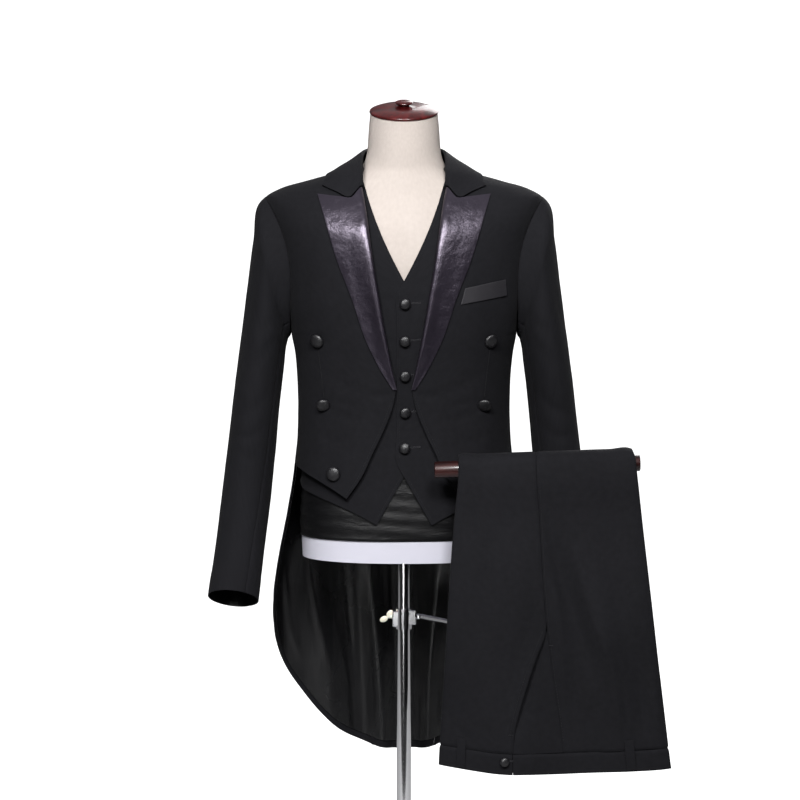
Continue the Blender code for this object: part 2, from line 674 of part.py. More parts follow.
def make_side_body(side):
    columns, rows = 3, len(SIDE_ROWS)
    seam = 0.10

    def place(column, row, face):
        t = column / columns
        up = (SIDE_ROWS[row - 1] - WAIST_SEAM) / (SIDE_ROWS[-1] - WAIST_SEAM) if row else 0.0
        top_angle, top = armhole(180 + ARMHOLE_STEP * column)
        height = mix(WAIST_SEAM, top, up)
        even = mix(90.0, smooth(BACK_SEAM, height, 1), t)
        even_top = mix(90.0, smooth(BACK_SEAM, top, 1), t)
        angle = even + (top_angle - even_top) * up**2
        angle += seam if column == 0 else -seam if column == columns else 0
        return coat.at(side, angle, height, -SUIT_CLOTH * face)

    wall(side_name("coat_side_body", side), "suit_cloth", columns, rows, place)


def vent_angle(height):
    """Where a back panel ends at the centre back: on the seam, or past it below the vent's top."""
    lap = ease((VENT_TOP - height) / 0.05) * VENT_ANGLE
    return 180 - 0.08 + lap


def tail_row(angle, row, low=0.0, high=0.0):
    """The height of a row of the tails: up to the vent's top, and then the waist seam."""
    if row < len(TAIL_ROWS):
        return mix(hem_of_tail(angle) + low, VENT_TOP, TAIL_ROWS[row])
    return WAIST_SEAM - high


def tail_seam(row):
    """The angle of the seam between a tail's side piece and its back, at a row."""
    return smooth(BACK_SEAM, tail_row(147, row), 1)


def make_coat_back(side):
    columns, below = 6, len(TAIL_ROWS)
    turns = range(UNDERARM_BACK + ARMHOLE_STEP, 361, ARMHOLE_STEP)
    above = [armhole(t)[1] for t in turns]
    top = [1.404, 1.416, 1.427, SHOULDER_TOP]
    rows = below + len(SIDE_ROWS) + len(above) + len(top)
    seam = 0.12

    def place(column, row, face):
        t = column / columns
        if row <= below:
            first = tail_seam(row) + seam
            height = tail_row(mix(first, 180, t), row)
        elif row <= below + len(SIDE_ROWS):
            height = SIDE_ROWS[row - below - 1]
            first = smooth(BACK_SEAM, height, 1) + seam
        elif row < below + len(SIDE_ROWS) + len(above):
            first, height = armhole(turns[row - below - len(SIDE_ROWS) - 1])
        else:
            height = [*above[-1:], *top][row - below - len(SIDE_ROWS) - len(above)]
            first = 90 + seam
        angle = mix(first, vent_angle(height), t)
        return tail(side, angle, height, -SUIT_CLOTH * face)

    wall(side_name("coat_back", side), "suit_cloth", columns, rows, place)


def make_skirt(side):
    """The tail's side piece, sewn to the back and hanging from the waist seam."""
    columns, rows = SKIRT_COLUMNS, len(TAIL_ROWS)

    def place(column, row, face):
        angle = mix(90.0, tail_seam(row) - 0.12, column / columns)
        return tail(side, angle, tail_row(angle, row, 0, GAP), -SUIT_CLOTH * face)

    wall(side_name("coat_skirt", side), "suit_cloth", columns, rows, place)


def make_tail_lining(side):
    """The satin lining inside a tail, which shows from the front."""
    back_columns, rows = 5, len(TAIL_ROWS)

    def place(column, row, face):
        seam = tail_seam(row)
        if column <= SKIRT_COLUMNS:
            angle = mix(90.0, seam, max(column, 0.15) / SKIRT_COLUMNS)
        else:
            angle = mix(seam, 180, (column - SKIRT_COLUMNS) / 6)
        height = tail_row(angle, row, 0.014, 0.004)
        return tail(side, angle, height, -SUIT_CLOTH - 0.0013 - LINING_CLOTH * face)

    wall(side_name("tail_lining", side), "lining", SKIRT_COLUMNS + back_columns, rows, place)


def sleeve_ring(step):
    """The sleeve's ring at a step down from the shoulder, 0 to the last one."""
    table = [(i, *r) for i, r in enumerate(SLEEVE)]
    return Ring(*(smooth(table, step, c) for c in range(1, 8)))


def sleeve_point(step, turn):
    """A point round the sleeve. Turn 0 is its outer side, 90 the front, 180 the side to the body."""
    if step < 0:
        angle, height = armhole(turn)
        seam = coat.at(1, angle, height)
        after = sleeve_point(0, turn)
        return seam + (after - seam) * (1 + step)
    ring = sleeve_ring(step)
    under = Vector((ring.under_x, 0, ring.under_z))
    outer = Vector((ring.outer_x, 0, ring.outer_z))
    tilt = math.radians(ring.tilt)
    front = Vector((0, -math.cos(tilt), math.sin(tilt))) * ring.half_depth
    turn = math.radians(turn)
    return (
        (under + outer) / 2 + Vector((0, ring.middle_y, 0))
        + (outer - under) / 2 * math.cos(turn) + front * math.sin(turn)
    )


def sleeve_at(side, step, turn, out):
    high, low = min(step + 0.05, len(SLEEVE) - 1.0), max(step - 0.05, -1.0)
    down = sleeve_point(high, turn) - sleeve_point(low, turn)
    round_it = sleeve_point(step, turn + 2) - sleeve_point(step, turn - 2)
    p = sleeve_point(step, turn) + round_it.cross(down).normalized() * out
    return Vector((side * p.x, p.y, p.z))


def front_seam_turn(step):
    """The sleeve's front seam moves towards the front on its way to the cuff."""
    return mix(UNDERARM_FRONT, CUFF_FRONT_SEAM, ease((step - 6) / 8.0))


def make_sleeve(side, part):
    steps = [-1 + GAP / 0.008, -0.35, 0, 1.5, 3, 4.5, 6, 7.5, 9, 10.5, 12, len(SLEEVE) - 1.0]
    rows = len(steps) - 1
    if part == "top":
        columns = (UNDERARM_FRONT + 360 - UNDERARM_BACK) // ARMHOLE_STEP
    else:
        columns = (UNDERARM_BACK - UNDERARM_FRONT) // ARMHOLE_STEP
    seam = 0.35

    def place(column, row, face):
        step = steps[row]
        front = front_seam_turn(step)
        if part == "top":
            turn = mix(UNDERARM_BACK - 360 + seam, front - seam, column / columns)
        else:
            turn = mix(front + seam, UNDERARM_BACK - seam, column / columns)
        return sleeve_at(side, step, turn, -SUIT_CLOTH * face)

    wall(side_name(part + "_sleeve", side), "suit_cloth", columns, rows, place)


# Across the lapel from its roll to its outer edge: share of the width, rise and upper edge
Across = namedtuple("Across", "share rise top")
LAPEL = [
    Across(0.000, 0.0030, 1.4042), Across(0.035, 0.0060, 1.4024), Across(0.130, 0.0072, 1.3955),
    Across(0.270, 0.0062, 1.3868), Across(0.500, 0.0045, 1.3888), Across(0.750, 0.0036, 1.3912),
    Across(1.000, 0.0034, 1.3936),
]


def make_lapel(side):
    rows = 11
    low = COAT_EDGE[5].height + 0.0065

    def place(column, row, face):
        t, rise, top = LAPEL[column]
        height = mix(low, top, row / rows)
        roll = smooth(COAT_EDGE, height, 1)
        outer = max(smooth(LAPEL_EDGE, height, 1), roll + 0.006)
        angle = coat.angle_for(height, reach=mix(roll, outer, t))
        rise = mix(LAPEL[0].rise, rise, ease(row / 2))
        return coat.at(side, angle, height, rise - VEST_CLOTH * face)

    wall(side_name("lapel", side), "satin", len(LAPEL) - 1, rows, place)


# The collar's end along the notch, from inside the neckline round the roll to the collar's point
NotchPoint = namedtuple("NotchPoint", "reach height out")
NOTCH = [
    NotchPoint(0.0628, 1.4055, -0.0008), NotchPoint(0.0640, 1.4062, 0.0016), NotchPoint(0.0655, 1.4068, 0.0045),
    NotchPoint(0.0690, 1.4042, 0.0070), NotchPoint(0.0762, 1.3970, 0.0070), NotchPoint(0.0860, 1.3880, 0.0060),
    NotchPoint(0.1080, 1.3968, 0.0050), NotchPoint(0.1310, 1.4060, 0.0046),
]
# Its stations from there to the centre back: the seam with the neckline, the roll, and the fall's edge
Station = namedtuple("Station", "seam_angle seam_height roll_x roll_y roll_z edge_angle edge_height")
COLLAR = [
    Station(42.5, 1.4205, 0.0662, -0.0785, 1.4235, 66.0, 1.4140),
    Station(54.0, 1.4366, 0.0668, -0.0560, 1.4395, 72.0, 1.4215),
    Station(90.0, 1.4369, 0.0665, -0.0080, 1.4595, 91.0, 1.4288),
    Station(125.0, 1.4369, 0.0555, 0.0430, 1.4680, 122.0, 1.4245),
    Station(153.0, 1.4369, 0.0305, 0.0655, 1.4720, 151.0, 1.4205),
    Station(180.0, 1.4369, 0.0000, 0.0715, 1.4735, 180.0, 1.4190),
]


def collar_profile(station):
    """Points across the collar at a station: the stand, the roll and the fall."""
    seam = coat.at(1, station.seam_angle, station.seam_height, -0.0006)
    roll = Vector((station.roll_x, station.roll_y, station.roll_z))
    edge = coat.at(1, station.edge_angle, station.edge_height, 0.0041)
    outward = Vector((roll.x, roll.y, 0)).normalized()
    after = roll + outward * 0.0065
    swell = Vector((0, 0, 0.0015))
    return [
        seam, mix(seam, roll, 0.55), roll - outward * 0.0008, roll + outward * 0.0024 + Vector((0, 0, 0.0022)),
        after, mix(after, edge, 0.33) + swell, mix(after, edge, 0.67) + swell, edge,
    ]


def make_collar():
    """One band from notch to notch, its stand up the neck and its fall over the neckline."""
    notch = [coat.at(1, coat.angle_for(n.height, reach=n.reach), n.height, n.out) for n in NOTCH]
    profiles = [notch, *(collar_profile(s) for s in COLLAR)]
    half, across = len(profiles) - 1, len(notch) - 1

    def surface(column, along):
        """along runs from 0 at the wearer's right notch to 1 at the left one."""
        place = abs(along * 2 - 1) * half
        table = [(i, *profiles[half - i][column]) for i in range(half + 1)]
        p = Vector([smooth(table, place, c) for c in (1, 2, 3)])
        return Vector((-p.x if along < 0.5 else p.x, p.y, p.z))

    rows = 3 * half

    def place(column, row, face):
        along = row / rows
        p = surface(column, along)
        before, after = surface(max(column - 1, 0), along), surface(min(column + 1, across), along)
        step = 0.02
        back, on = surface(column, max(along - step, 0)), surface(column, min(along + step, 1))
        normal = (on - back).cross(after - before).normalized()
        return p - normal * (SUIT_CLOTH * face)

    wall("collar", "suit_cloth", across, rows, place)


def make_breast_welt():
    columns, rows = 4, 1
    side = 1

    def place(column, row, face):
        t = column / columns
        low = mix(WELT["low_left"], WELT["low_right"], t)
        height = low + WELT["width"] * row
        reach = mix(WELT["left"] + 0.007 * row, WELT["right"] - 0.002 * row, t)
        angle = coat.angle_for(height, reach=reach)
        return coat.at(side, angle, height, 0.0009 + 0.0016 * (1 - face))

    wall("breast_welt", "suit_cloth", columns, rows, place)


def button(name, radius, panel, near, droop, turn):
    """A cloth-covered button with a short shank, standing on the panel's face nearest to a point."""
    mesh = panel.data
    tree = BVHTree.FromPolygons([v.co for v in mesh.vertices], [f.vertices for f in mesh.polygons])
    seat, normal, _, _ = tree.find_nearest(near)
    profile = [
        (0, 0), (0.0022, 0), (0.0020, 0.0022), (radius * 0.92, 0.0030), (radius, 0.0050),
        (radius * 0.62, 0.0082), (0, 0.0090),
    ]
    facing = normal.to_track_quat("Z", "Y").to_matrix().to_4x4()
    lean = Matrix.Rotation(math.radians(droop) * 0.35, 4, "X") @ Matrix.Rotation(math.radians(turn) * 0.35, 4, "Y")
    lift = 0.0022 * math.sin(math.radians(abs(droop) + abs(turn)) * 0.35)
    place = Matrix.Translation(seat + normal * (0.0004 + lift)) @ facing @ lean
    turned(name, "satin", profile, 10, place)


def make_coat_buttons():
    for side in (-1, 1):
        panel = bpy.data.objects[side_name("coat_front", side)]
        for n, b in enumerate(COAT_BUTTONS, 1):
            near = coat.at(side, coat.angle_for(b.height, reach=b.reach), b.height, 0.003)
            button(f"{side_name('coat_button', side)}{n}", COAT_BUTTON_RADIUS, panel, near, b.droop, -side * b.turn)


# The waistcoat

def vest_out(height):
    """The waistcoat rests on the form's shoulders and is looser below them."""
    return mix(VEST_LOOSE, VEST_SNUG, ease((height - 1.33) / 0.06))


def vest_lap(side, reach):
    """The wearer's left front laps over the right one."""
    return VEST_LAP * (1 - ease((abs(reach) - 0.018) / 0.05)) if side > 0 else 0.0


VEST_SHOULDER = [1.365, 1.383, 1.394, 1.406, 1.412, 1.418, 1.423, 1.429]


def make_vest_front(side):
    columns = 6
    below = 4
    heights = [1.01, 1.045, 1.09, 1.15, 1.175, 1.20, 1.233, 1.2567, 1.29, 1.33, *VEST_SHOULDER]

    def place(column, row, face):
        t = column / columns
        if row <= below:
            edge = VEST_EDGE[0].reach
            hem = smooth(VEST_HEM, mix(edge, 0.170, t), 1)
            height = mix(hem, 0.9640, row / below)
        else:
            height = heights[row - below - 1]
        start = smooth(VEST_EDGE, height, 1)
        first = math.copysign(form.angle_for(height, reach=abs(start)), start) if abs(start) > 1e-5 else 0.0
        if height < VEST_ARMHOLE[0].height:
            last = 90 - 0.1
        else:
            wide = smooth(VEST_ARMHOLE, height, 1)
            last = 90 - 0.12 if wide >= form.ring(height).half_width * 0.995 else form.angle_for(height, reach=wide)
        angle = mix(first, last, t)
        reach = form.point(abs(angle), height).x
        out = vest_out(height) + vest_lap(side, reach) - VEST_CLOTH * face
        p = form.at(1, abs(angle), height, out)
        return Vector((side * math.copysign(p.x, angle), p.y, p.z))

    wall(side_name("vest_front", side), "suit_cloth", columns, below + len(heights), place)


def make_vest_back():
    half, heights = 6, [0.9200, 0.985, 1.07, 1.15, 1.175, 1.22, 1.28, 1.33, *VEST_SHOULDER]

    def place(column, row, face):
        height = heights[row]
        side = -1 if column < half else 1
        t = 1 - abs(column - half) / half
        if height < VEST_ARMHOLE[0].height:
            first = 90 + 0.1
        else:
            wide = smooth(VEST_ARMHOLE, height, 1)
            snug = wide >= form.ring(height).half_width * 0.995
            first = 90 + 0.12 if snug else form.angle_for(height, reach=wide, back=True)
        return form.at(side, mix(first, 180, t), height, vest_out(height) - VEST_CLOTH * face)

    wall("vest_back", "lining", 2 * half, len(heights) - 1, place)


def make_vest_buttons():
    panel = bpy.data.objects["vest_front_l"]
    for n, b in enumerate(VEST_BUTTONS, 1):
        near = form.at(1, form.angle_for(b.height, reach=b.reach), b.height, vest_out(b.height) + 0.006)
        button(f"vest_button{n}", VEST_BUTTON_RADIUS, panel, near, b.droop, b.turn)


# The trousers

def trouser_fold(x, height):
    """Soft troughs that run down the hanging front half, deeper towards the seat."""
    hang = ease((0.93 - height) / 0.25)
    middle = smooth(SIDE_SEAM, height, 1)
    valley = math.exp(-(((x - middle - 0.030) / 0.020) ** 2))
    swell = math.exp(-(((x - middle - 0.085) / 0.045) ** 2))
    front = math.exp(-(((x - middle + 0.075) / 0.040) ** 2))
    return hang * (0.0048 - 0.0046 * valley + 0.0050 * swell + 0.0035 * front)


def trouser_at(across, along, deep):
    """A point of the folded trousers.

    across runs from the front crease, 0, to the back crease, 1. along runs from the waist edge, 0,
    up to the bar, 1, over it, 2, and down to the hem, 3. deep is the distance from the bar's surface.
    """
    radius = BAR_RADIUS + deep
    top = smooth(TROUSER_FRONT, 0.980, 1), smooth(TROUSER_FRONT, 0.980, 2)
    if along <= 1 or along >= 2:
        outline = TROUSER_FRONT if along <= 1 else TROUSER_BACK
        guess = mix(*top, across)
        bar_height = BAR_CENTRE.z + (guess - BAR_CENTRE.x) * BAR_SLOPE
        if along <= 1:
            low = smooth(WAIST_EDGE, mix(WAIST_EDGE[0].reach, WAIST_EDGE[-1].reach, across), 1)
            height = mix(low, bar_height, along)
        else:
            height = mix(bar_height, TROUSER_HEM, along - 2)
        level = height - (bar_height - 0.980) * ease((height - 0.48) / 0.5)
        x = mix(smooth(outline, level, 1), smooth(outline, level, 2), across)
        y = BAR_CENTRE.y - radius if along <= 1 else BAR_CENTRE.y + radius
        if along <= 1:
            outer = min(max((deep - NEAR_LEG_IN - TROUSER_CLOTH) / 0.0004, 0), 1)
            y -= outer * trouser_fold(x, height) * min(1, across * 12, (1 - across) * 12)
        return Vector((x, y, height))
    turn = math.pi * (along - 1)
    x = mix(*top, across)
    bar_height = BAR_CENTRE.z + (x - BAR_CENTRE.x) * BAR_SLOPE
    return Vector((x, BAR_CENTRE.y - radius * math.cos(turn), bar_height + radius * math.sin(turn)))


def seam_across(along):
    """The side seam as a share of the width, at a place along the trousers."""
    if along >= 1:
        return mix(0.4375, 0.47, ease(along - 1.5))
    height = trouser_at(0.45, along, 0).z
    left, right = smooth(TROUSER_FRONT, height, 1), smooth(TROUSER_FRONT, height, 2)
    return (smooth(SIDE_SEAM, height, 1) - left) / (right - left)


def pocket_across(along):
    """The slanted pocket mouth as a share of the width, or the side seam above it."""
    height = trouser_at(0.35, along, 0).z
    seam = seam_across(along)
    if height >= POCKET[-1].height:
        return seam
    left, right = smooth(TROUSER_FRONT, height, 1), smooth(TROUSER_FRONT, height, 2)
    return min(seam, (smooth(POCKET, height, 1) - left) / (right - left))


BAND_ALONG = WAISTBAND / 0.497
LEG_ROWS = [BAND_ALONG, 0.14, 0.22, 0.30, 0.385, 0.468, 0.56, 0.68, 0.84, 1.0,
            1.167, 1.333, 1.5, 1.667, 1.833, 2.0, 2.2, 2.5, 3.0]
FOLD_MIDDLE = (NEAR_LEG_IN + NEAR_LEG_OUT) / 2
FOLD_RADIUS = (NEAR_LEG_OUT - NEAR_LEG_IN) / 2


def folded_panel(name, slot, rows, inner_edge, crease_right, seam_gap=0.0006, returned=0.10):
    """A leg panel: its outer layer, the crease, and the start of the layer that it folds back to.

    inner_edge(along) is where the outer layer ends, as a share of the width.
    """
    outer = [0.0, 0.25, 0.5, 0.75, 1.0]
    bends = [45, 90, 135]
    columns = len(outer) + len(bends) + 1

    def section(column, along, face):
        edge = 1.0 if crease_right else 0.0
        sign = -1 if crease_right else 1
        width = 0.30
        inset = FOLD_RADIUS / width
        if column < len(outer):
            start = inner_edge(along) + (seam_gap if crease_right else -seam_gap)
            return mix(start, edge + sign * inset, outer[column]), NEAR_LEG_OUT - TROUSER_CLOTH * face
        if column < len(outer) + len(bends):
            turn = math.radians(bends[column - len(outer)])
            radius = FOLD_RADIUS - TROUSER_CLOTH * face
            return (
                edge + sign * (inset - radius * math.sin(turn) / width),
                FOLD_MIDDLE + radius * math.cos(turn),
            )
        back = inset if column == columns - 1 else returned
        return edge + sign * back, NEAR_LEG_IN + TROUSER_CLOTH * face

    def place(column, row, face):
        along = rows[row]
        across, deep = section(column, along, face)
        return trouser_at(across, along, deep)

    return wall(name, slot, columns, len(rows) - 1, place)


def layer_panel(name, slot, rows, first, last, deep, thick, columns=4):
    """A flat piece that lies on or under the trousers' outer layer."""
    def place(column, row, face):
        along = rows[row]
        across = mix(first(along), last(along), column / columns)
        return trouser_at(across, along, deep - thick * face)

    return wall(name, slot, columns, len(rows) - 1, place)


def make_far_leg():
    """The far leg and the hidden layers between the legs, as one flattened piece round the bar."""
    rows = [0.0, *LEG_ROWS[:-1], 2.985]
    layer_panel("trouser_leg_l", "suit_cloth", rows, lambda a: 0.012, lambda a: 0.988,
                FAR_LEG[1], FAR_LEG[1] - FAR_LEG[0], 4)


def make_trousers():
    folded_panel("trouser_front_r", "suit_cloth", LEG_ROWS, pocket_across, False)
    folded_panel("trouser_back_r", "suit_cloth", LEG_ROWS, seam_across, True)
    make_far_leg()

    facing_rows = [a for a in LEG_ROWS if a <= 0.4681]
    layer_panel(
        "pocket_facing", "suit_cloth", facing_rows, lambda a: max(pocket_across(a) - 0.045, 0.12),
        lambda a: seam_across(a) + 0.02, NEAR_LEG_OUT - TROUSER_CLOTH - 0.0006, 0.0014, 3,
    )
    band = BAND_ALONG - GAP / 0.497
    folded_panel("waistband_front", "suit_cloth", [0.0, band / 2, band], lambda a: 0.3165, False)
    folded_panel("waistband_back", "suit_cloth", [0.0, band / 2, band], lambda a: 0.3190, True)


def make_belt_loops():
    for n, (left, right) in enumerate(((0.0825, 0.0965), (0.3495, 0.3650)), 1):
        def place(column, row, face, left=left, right=right):
            along = mix(0.004, 0.104, row / 3)
            width = 0.3655
            across = (mix(left, right, column) - 0.0550) / width
            bulge = 0.0012 * math.sin(math.pi * row / 3)
            return trouser_at(across, along, NEAR_LEG_OUT + 0.0007 + bulge + 0.0016 * (1 - face))

        wall(f"belt_loop{n}", "suit_cloth", 1, 3, place)


def make_waist_button():
    across = (0.1575 - 0.0550) / 0.3655
    near = trouser_at(across, 0.046, NEAR_LEG_OUT + 0.003)
    button("waist_button", 0.0075, bpy.data.objects["waistband_front"], near, 6, 20)


def clear_scene():
    for thing in list(bpy.data.objects):
        bpy.data.objects.remove(thing)


def main():
    clear_scene()
    make_stand()
    make_form()
    make_neck_cap()
    make_hip_band()
    make_clamp()
    make_arm()
    make_bar()
    for side in (-1, 1):
        make_coat_front(side)
        make_side_body(side)
        make_coat_back(side)
        make_skirt(side)
        make_tail_lining(side)
        make_sleeve(side, "top")
        make_sleeve(side, "under")
        make_lapel(side)
        make_vest_front(side)
    make_collar()
    make_breast_welt()
    make_coat_buttons()
    make_vest_back()
    make_vest_buttons()
    make_trousers()
    make_belt_loops()
    make_waist_button()


main()
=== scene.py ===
"""Looks of the black tailcoat suit on its dress form and stand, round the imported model.

Metres, +Z up, the front faces -Y. Cloth follows the same body sections as the solids: a place on it
is an angle round a ring of the figure and a height. Angle 0 is the centre front, 180 the centre back.
"""

import math
from collections import namedtuple
from functools import partial

import bmesh
import bpy
import numpy as np
from mathutils import Matrix, Vector, noise
from mathutils.bvhtree import BVHTree


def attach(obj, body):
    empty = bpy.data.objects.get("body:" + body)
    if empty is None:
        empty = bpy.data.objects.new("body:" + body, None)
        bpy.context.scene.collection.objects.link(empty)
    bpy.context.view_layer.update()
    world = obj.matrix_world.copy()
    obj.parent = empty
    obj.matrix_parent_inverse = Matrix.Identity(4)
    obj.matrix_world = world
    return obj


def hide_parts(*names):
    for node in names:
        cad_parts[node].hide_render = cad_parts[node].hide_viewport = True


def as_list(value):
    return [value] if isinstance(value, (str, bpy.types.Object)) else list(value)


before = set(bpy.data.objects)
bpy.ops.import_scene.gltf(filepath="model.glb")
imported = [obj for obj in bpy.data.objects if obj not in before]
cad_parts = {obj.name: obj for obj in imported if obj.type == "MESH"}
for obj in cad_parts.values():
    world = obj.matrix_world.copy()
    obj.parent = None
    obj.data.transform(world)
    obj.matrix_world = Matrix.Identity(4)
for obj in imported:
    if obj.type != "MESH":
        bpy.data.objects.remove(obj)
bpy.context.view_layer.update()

# Camera
CAMERA_PLACE = (-0.0065, -4.0, 1.40)
CAMERA_DOWN = math.radians(4.915)
CAMERA_LENS = 109.49

# Stand
BASE_RADIUS = 0.185
BASE_THICKNESS = 0.012
BASE_BOSS_RADIUS = 0.032
BASE_BOSS_HEIGHT = 0.034
POLE_RADIUS = 0.012
FORM_BOTTOM = 0.800
NECK_TOP = 1.526
NECK_TILT = math.radians(16)
CAP_RADIUS = 0.0565
FORM_EASE = 0.0027
MEAN_RADIUS = 0.14
CLAMP_HEIGHT = 0.692
BAR_RADIUS = 0.013
BAR_LEFT = 0.159
BAR_RIGHT = 0.1665
BAR_CENTRE = Vector((0.2070, -0.170, 0.9650))
BAR_SLOPE = 0.035

# Cloth
GAP = 0.0003
SUIT_CLOTH = 0.0020
VEST_CLOTH = 0.0018
LINING_CLOTH = 0.0010
TROUSER_CLOTH = 0.0016
VEST_LOOSE = 0.0066
VEST_SNUG = 0.0024
VEST_LAP = 0.0022
VEST_OVERLAP = 0.012
VEST_FULL_LAP = 0.9640
CELL = 0.0048
EDGE_CELLS = (0.0012, 0.0030, 0.0056)

# Tailcoat
WAIST_SEAM = 0.955
SHOULDER_TOP = 1.436
ARMHOLE_HEIGHT = 1.2785
ARMHOLE_HALF_HEIGHT = 0.1135
ARMHOLE_FRONT = 0.066
ARMHOLE_BACK = 0.070
ARMHOLE_STEP = 18
UNDERARM_FRONT = 144
UNDERARM_BACK = 234
CUFF_FRONT_SEAM = 124
VENT_TOP = 0.925
VENT_LIFT = 0.0030
VENT_ANGLE = 4
SKIRT_COLUMNS = 9
SHOULDER_ROWS = [1.404, 1.416, 1.427, SHOULDER_TOP]
# Half the angle left open at the coat's seams, in degrees
CLOSED = 0.02

Section = namedtuple("Section", "height half_width front back square middle")

FORM = [
    Section(0.800, 0.1680, 0.110, 0.108, 2.3, 0),
    Section(0.860, 0.1700, 0.112, 0.112, 2.3, 0),
    Section(0.940, 0.1630, 0.108, 0.106, 2.3, 0),
    Section(1.020, 0.1530, 0.104, 0.098, 2.3, 0),
    Section(1.120, 0.1580, 0.110, 0.100, 2.3, 0),
    Section(1.200, 0.1680, 0.119, 0.106, 2.3, 0),
    Section(1.270, 0.1730, 0.121, 0.110, 2.3, 0),
    Section(1.330, 0.1810, 0.112, 0.110, 2.3, 0),
    Section(1.365, 0.1910, 0.098, 0.104, 2.2, 0),
    Section(1.383, 0.1920, 0.088, 0.096, 2.1, 0),
    Section(1.394, 0.1830, 0.082, 0.091, 2.1, 0),
    Section(1.4060, 0.1740, 0.077, 0.087, 2.0, 0),
    Section(1.4180, 0.1355, 0.072, 0.081, 2.0, 0),
    Section(1.4230, 0.1120, 0.069, 0.078, 2.0, 0),
    Section(1.4280, 0.0910, 0.066, 0.075, 2.0, 0),
    Section(1.4350, 0.0750, 0.062, 0.071, 2.0, 0),
    Section(1.4460, 0.0655, 0.059, 0.067, 2.0, 0),
    Section(1.4650, 0.0600, 0.058, 0.064, 2.0, 0),
    Section(1.5000, 0.0575, 0.056, 0.060, 2.0, 0),
    Section(1.5260, 0.0550, 0.055, 0.057, 2.0, 0),
]
COAT = [
    Section(0.440, 0.2190, 0.080, 0.078, 2.1, 0.060),
    Section(0.600, 0.2190, 0.090, 0.092, 2.1, 0.044),
    Section(0.720, 0.2180, 0.100, 0.110, 2.1, 0.025),
    Section(0.776, 0.2115, 0.110, 0.118, 2.2, 0.013),
    Section(0.830, 0.2010, 0.120, 0.122, 2.2, 0.006),
    Section(0.883, 0.1910, 0.128, 0.122, 2.3, 0.001),
    Section(0.920, 0.1845, 0.127, 0.120, 2.3, 0),
    Section(0.955, 0.1800, 0.125, 0.118, 2.3, 0),
    Section(0.990, 0.1767, 0.122, 0.115, 2.3, 0),
    Section(1.040, 0.1749, 0.1195, 0.111, 2.3, 0),
    Section(1.080, 0.1755, 0.1200, 0.111, 2.3, 0),
    Section(1.130, 0.1790, 0.1245, 0.114, 2.3, 0),
    Section(1.175, 0.1870, 0.130, 0.119, 2.35, 0),
    Section(1.220, 0.1970, 0.134, 0.123, 2.35, 0),
    Section(1.280, 0.2030, 0.136, 0.126, 2.35, 0),
    Section(1.330, 0.2120, 0.130, 0.126, 2.35, 0),
    Section(1.360, 0.2220, 0.117, 0.121, 2.3, 0),
    Section(1.385, 0.2285, 0.101, 0.112, 2.2, 0),
    Section(1.398, 0.2194, 0.093, 0.105, 2.1, 0),
    Section(1.411, 0.1770, 0.087, 0.099, 2.0, 0),
    Section(1.4235, 0.1375, 0.081, 0.091, 2.0, 0),
    Section(1.4285, 0.1130, 0.077, 0.086, 2.0, 0),
    Section(1.4330, 0.0950, 0.0735, 0.0815, 2.0, 0),
    Section(1.4385, 0.0820, 0.070, 0.077, 2.0, 0),
    Section(1.4500, 0.0730, 0.066, 0.073, 2.0, 0),
]

Edge = namedtuple("Edge", "height reach")

COAT_EDGE = [
    Edge(0.9060, 0.0925), Edge(0.9386, 0.0700), Edge(0.9958, 0.0434), Edge(1.0244, 0.0295),
    Edge(1.0531, 0.0190), Edge(1.0760, 0.0112), Edge(1.1167, 0.0189), Edge(1.1443, 0.0240),
    Edge(1.1778, 0.0304), Edge(1.2280, 0.0386), Edge(1.2623, 0.0446), Edge(1.3089, 0.0517),
    Edge(1.3594, 0.0588), Edge(1.4035, 0.0666), Edge(1.4360, 0.0745),
]
LAPEL_EDGE = [
    Edge(1.0800, 0.0150), Edge(1.1108, 0.0352), Edge(1.1513, 0.0554), Edge(1.1692, 0.0630),
    Edge(1.2361, 0.0851), Edge(1.2766, 0.1012), Edge(1.3190, 0.1153), Edge(1.3594, 0.1274),
    Edge(1.3936, 0.1383),
]
VEST_EDGE = [
    Edge(0.8630, 0.0435), Edge(0.9030, 0.0215), Edge(0.9413, 0.0000), Edge(VEST_FULL_LAP, -VEST_OVERLAP),
    Edge(1.0000, -VEST_OVERLAP), Edge(1.2000, -VEST_OVERLAP), Edge(1.2330, -VEST_OVERLAP),
    Edge(1.2567, 0.0000), Edge(1.3060, 0.0256), Edge(1.3738, 0.0532), Edge(1.4138, 0.0653),
    Edge(1.4300, 0.0720),
]
VEST_ARMHOLE = [
    Edge(1.1500, 0.1640), Edge(1.1750, 0.1620), Edge(1.2000, 0.1500), Edge(1.2400, 0.1390),
    Edge(1.2800, 0.1320), Edge(1.3400, 0.1280), Edge(1.3850, 0.1320), Edge(1.4150, 0.1380),
]

Hem = namedtuple("Hem", "reach height")

COAT_FRONT_HEM = [Hem(0.0925, 0.9060), Hem(0.1373, 0.9373), Hem(0.1577, 0.9490), Hem(0.1800, 0.9550)]
VEST_HEM = [Hem(0.0435, 0.8630), Hem(0.1270, 0.9051), Hem(0.1526, 0.9148), Hem(0.1700, 0.9200)]
TAIL_HEM = [
    Hem(0.0000, 0.4410), Hem(0.0300, 0.4425), Hem(0.0579, 0.4490), Hem(0.1109, 0.4775),
    Hem(0.1433, 0.5080), Hem(0.1654, 0.5376), Hem(0.1841, 0.5674), Hem(0.1977, 0.5950),
    Hem(0.2095, 0.6260), Hem(0.2162, 0.6620), Hem(0.2190, 0.7050),
]

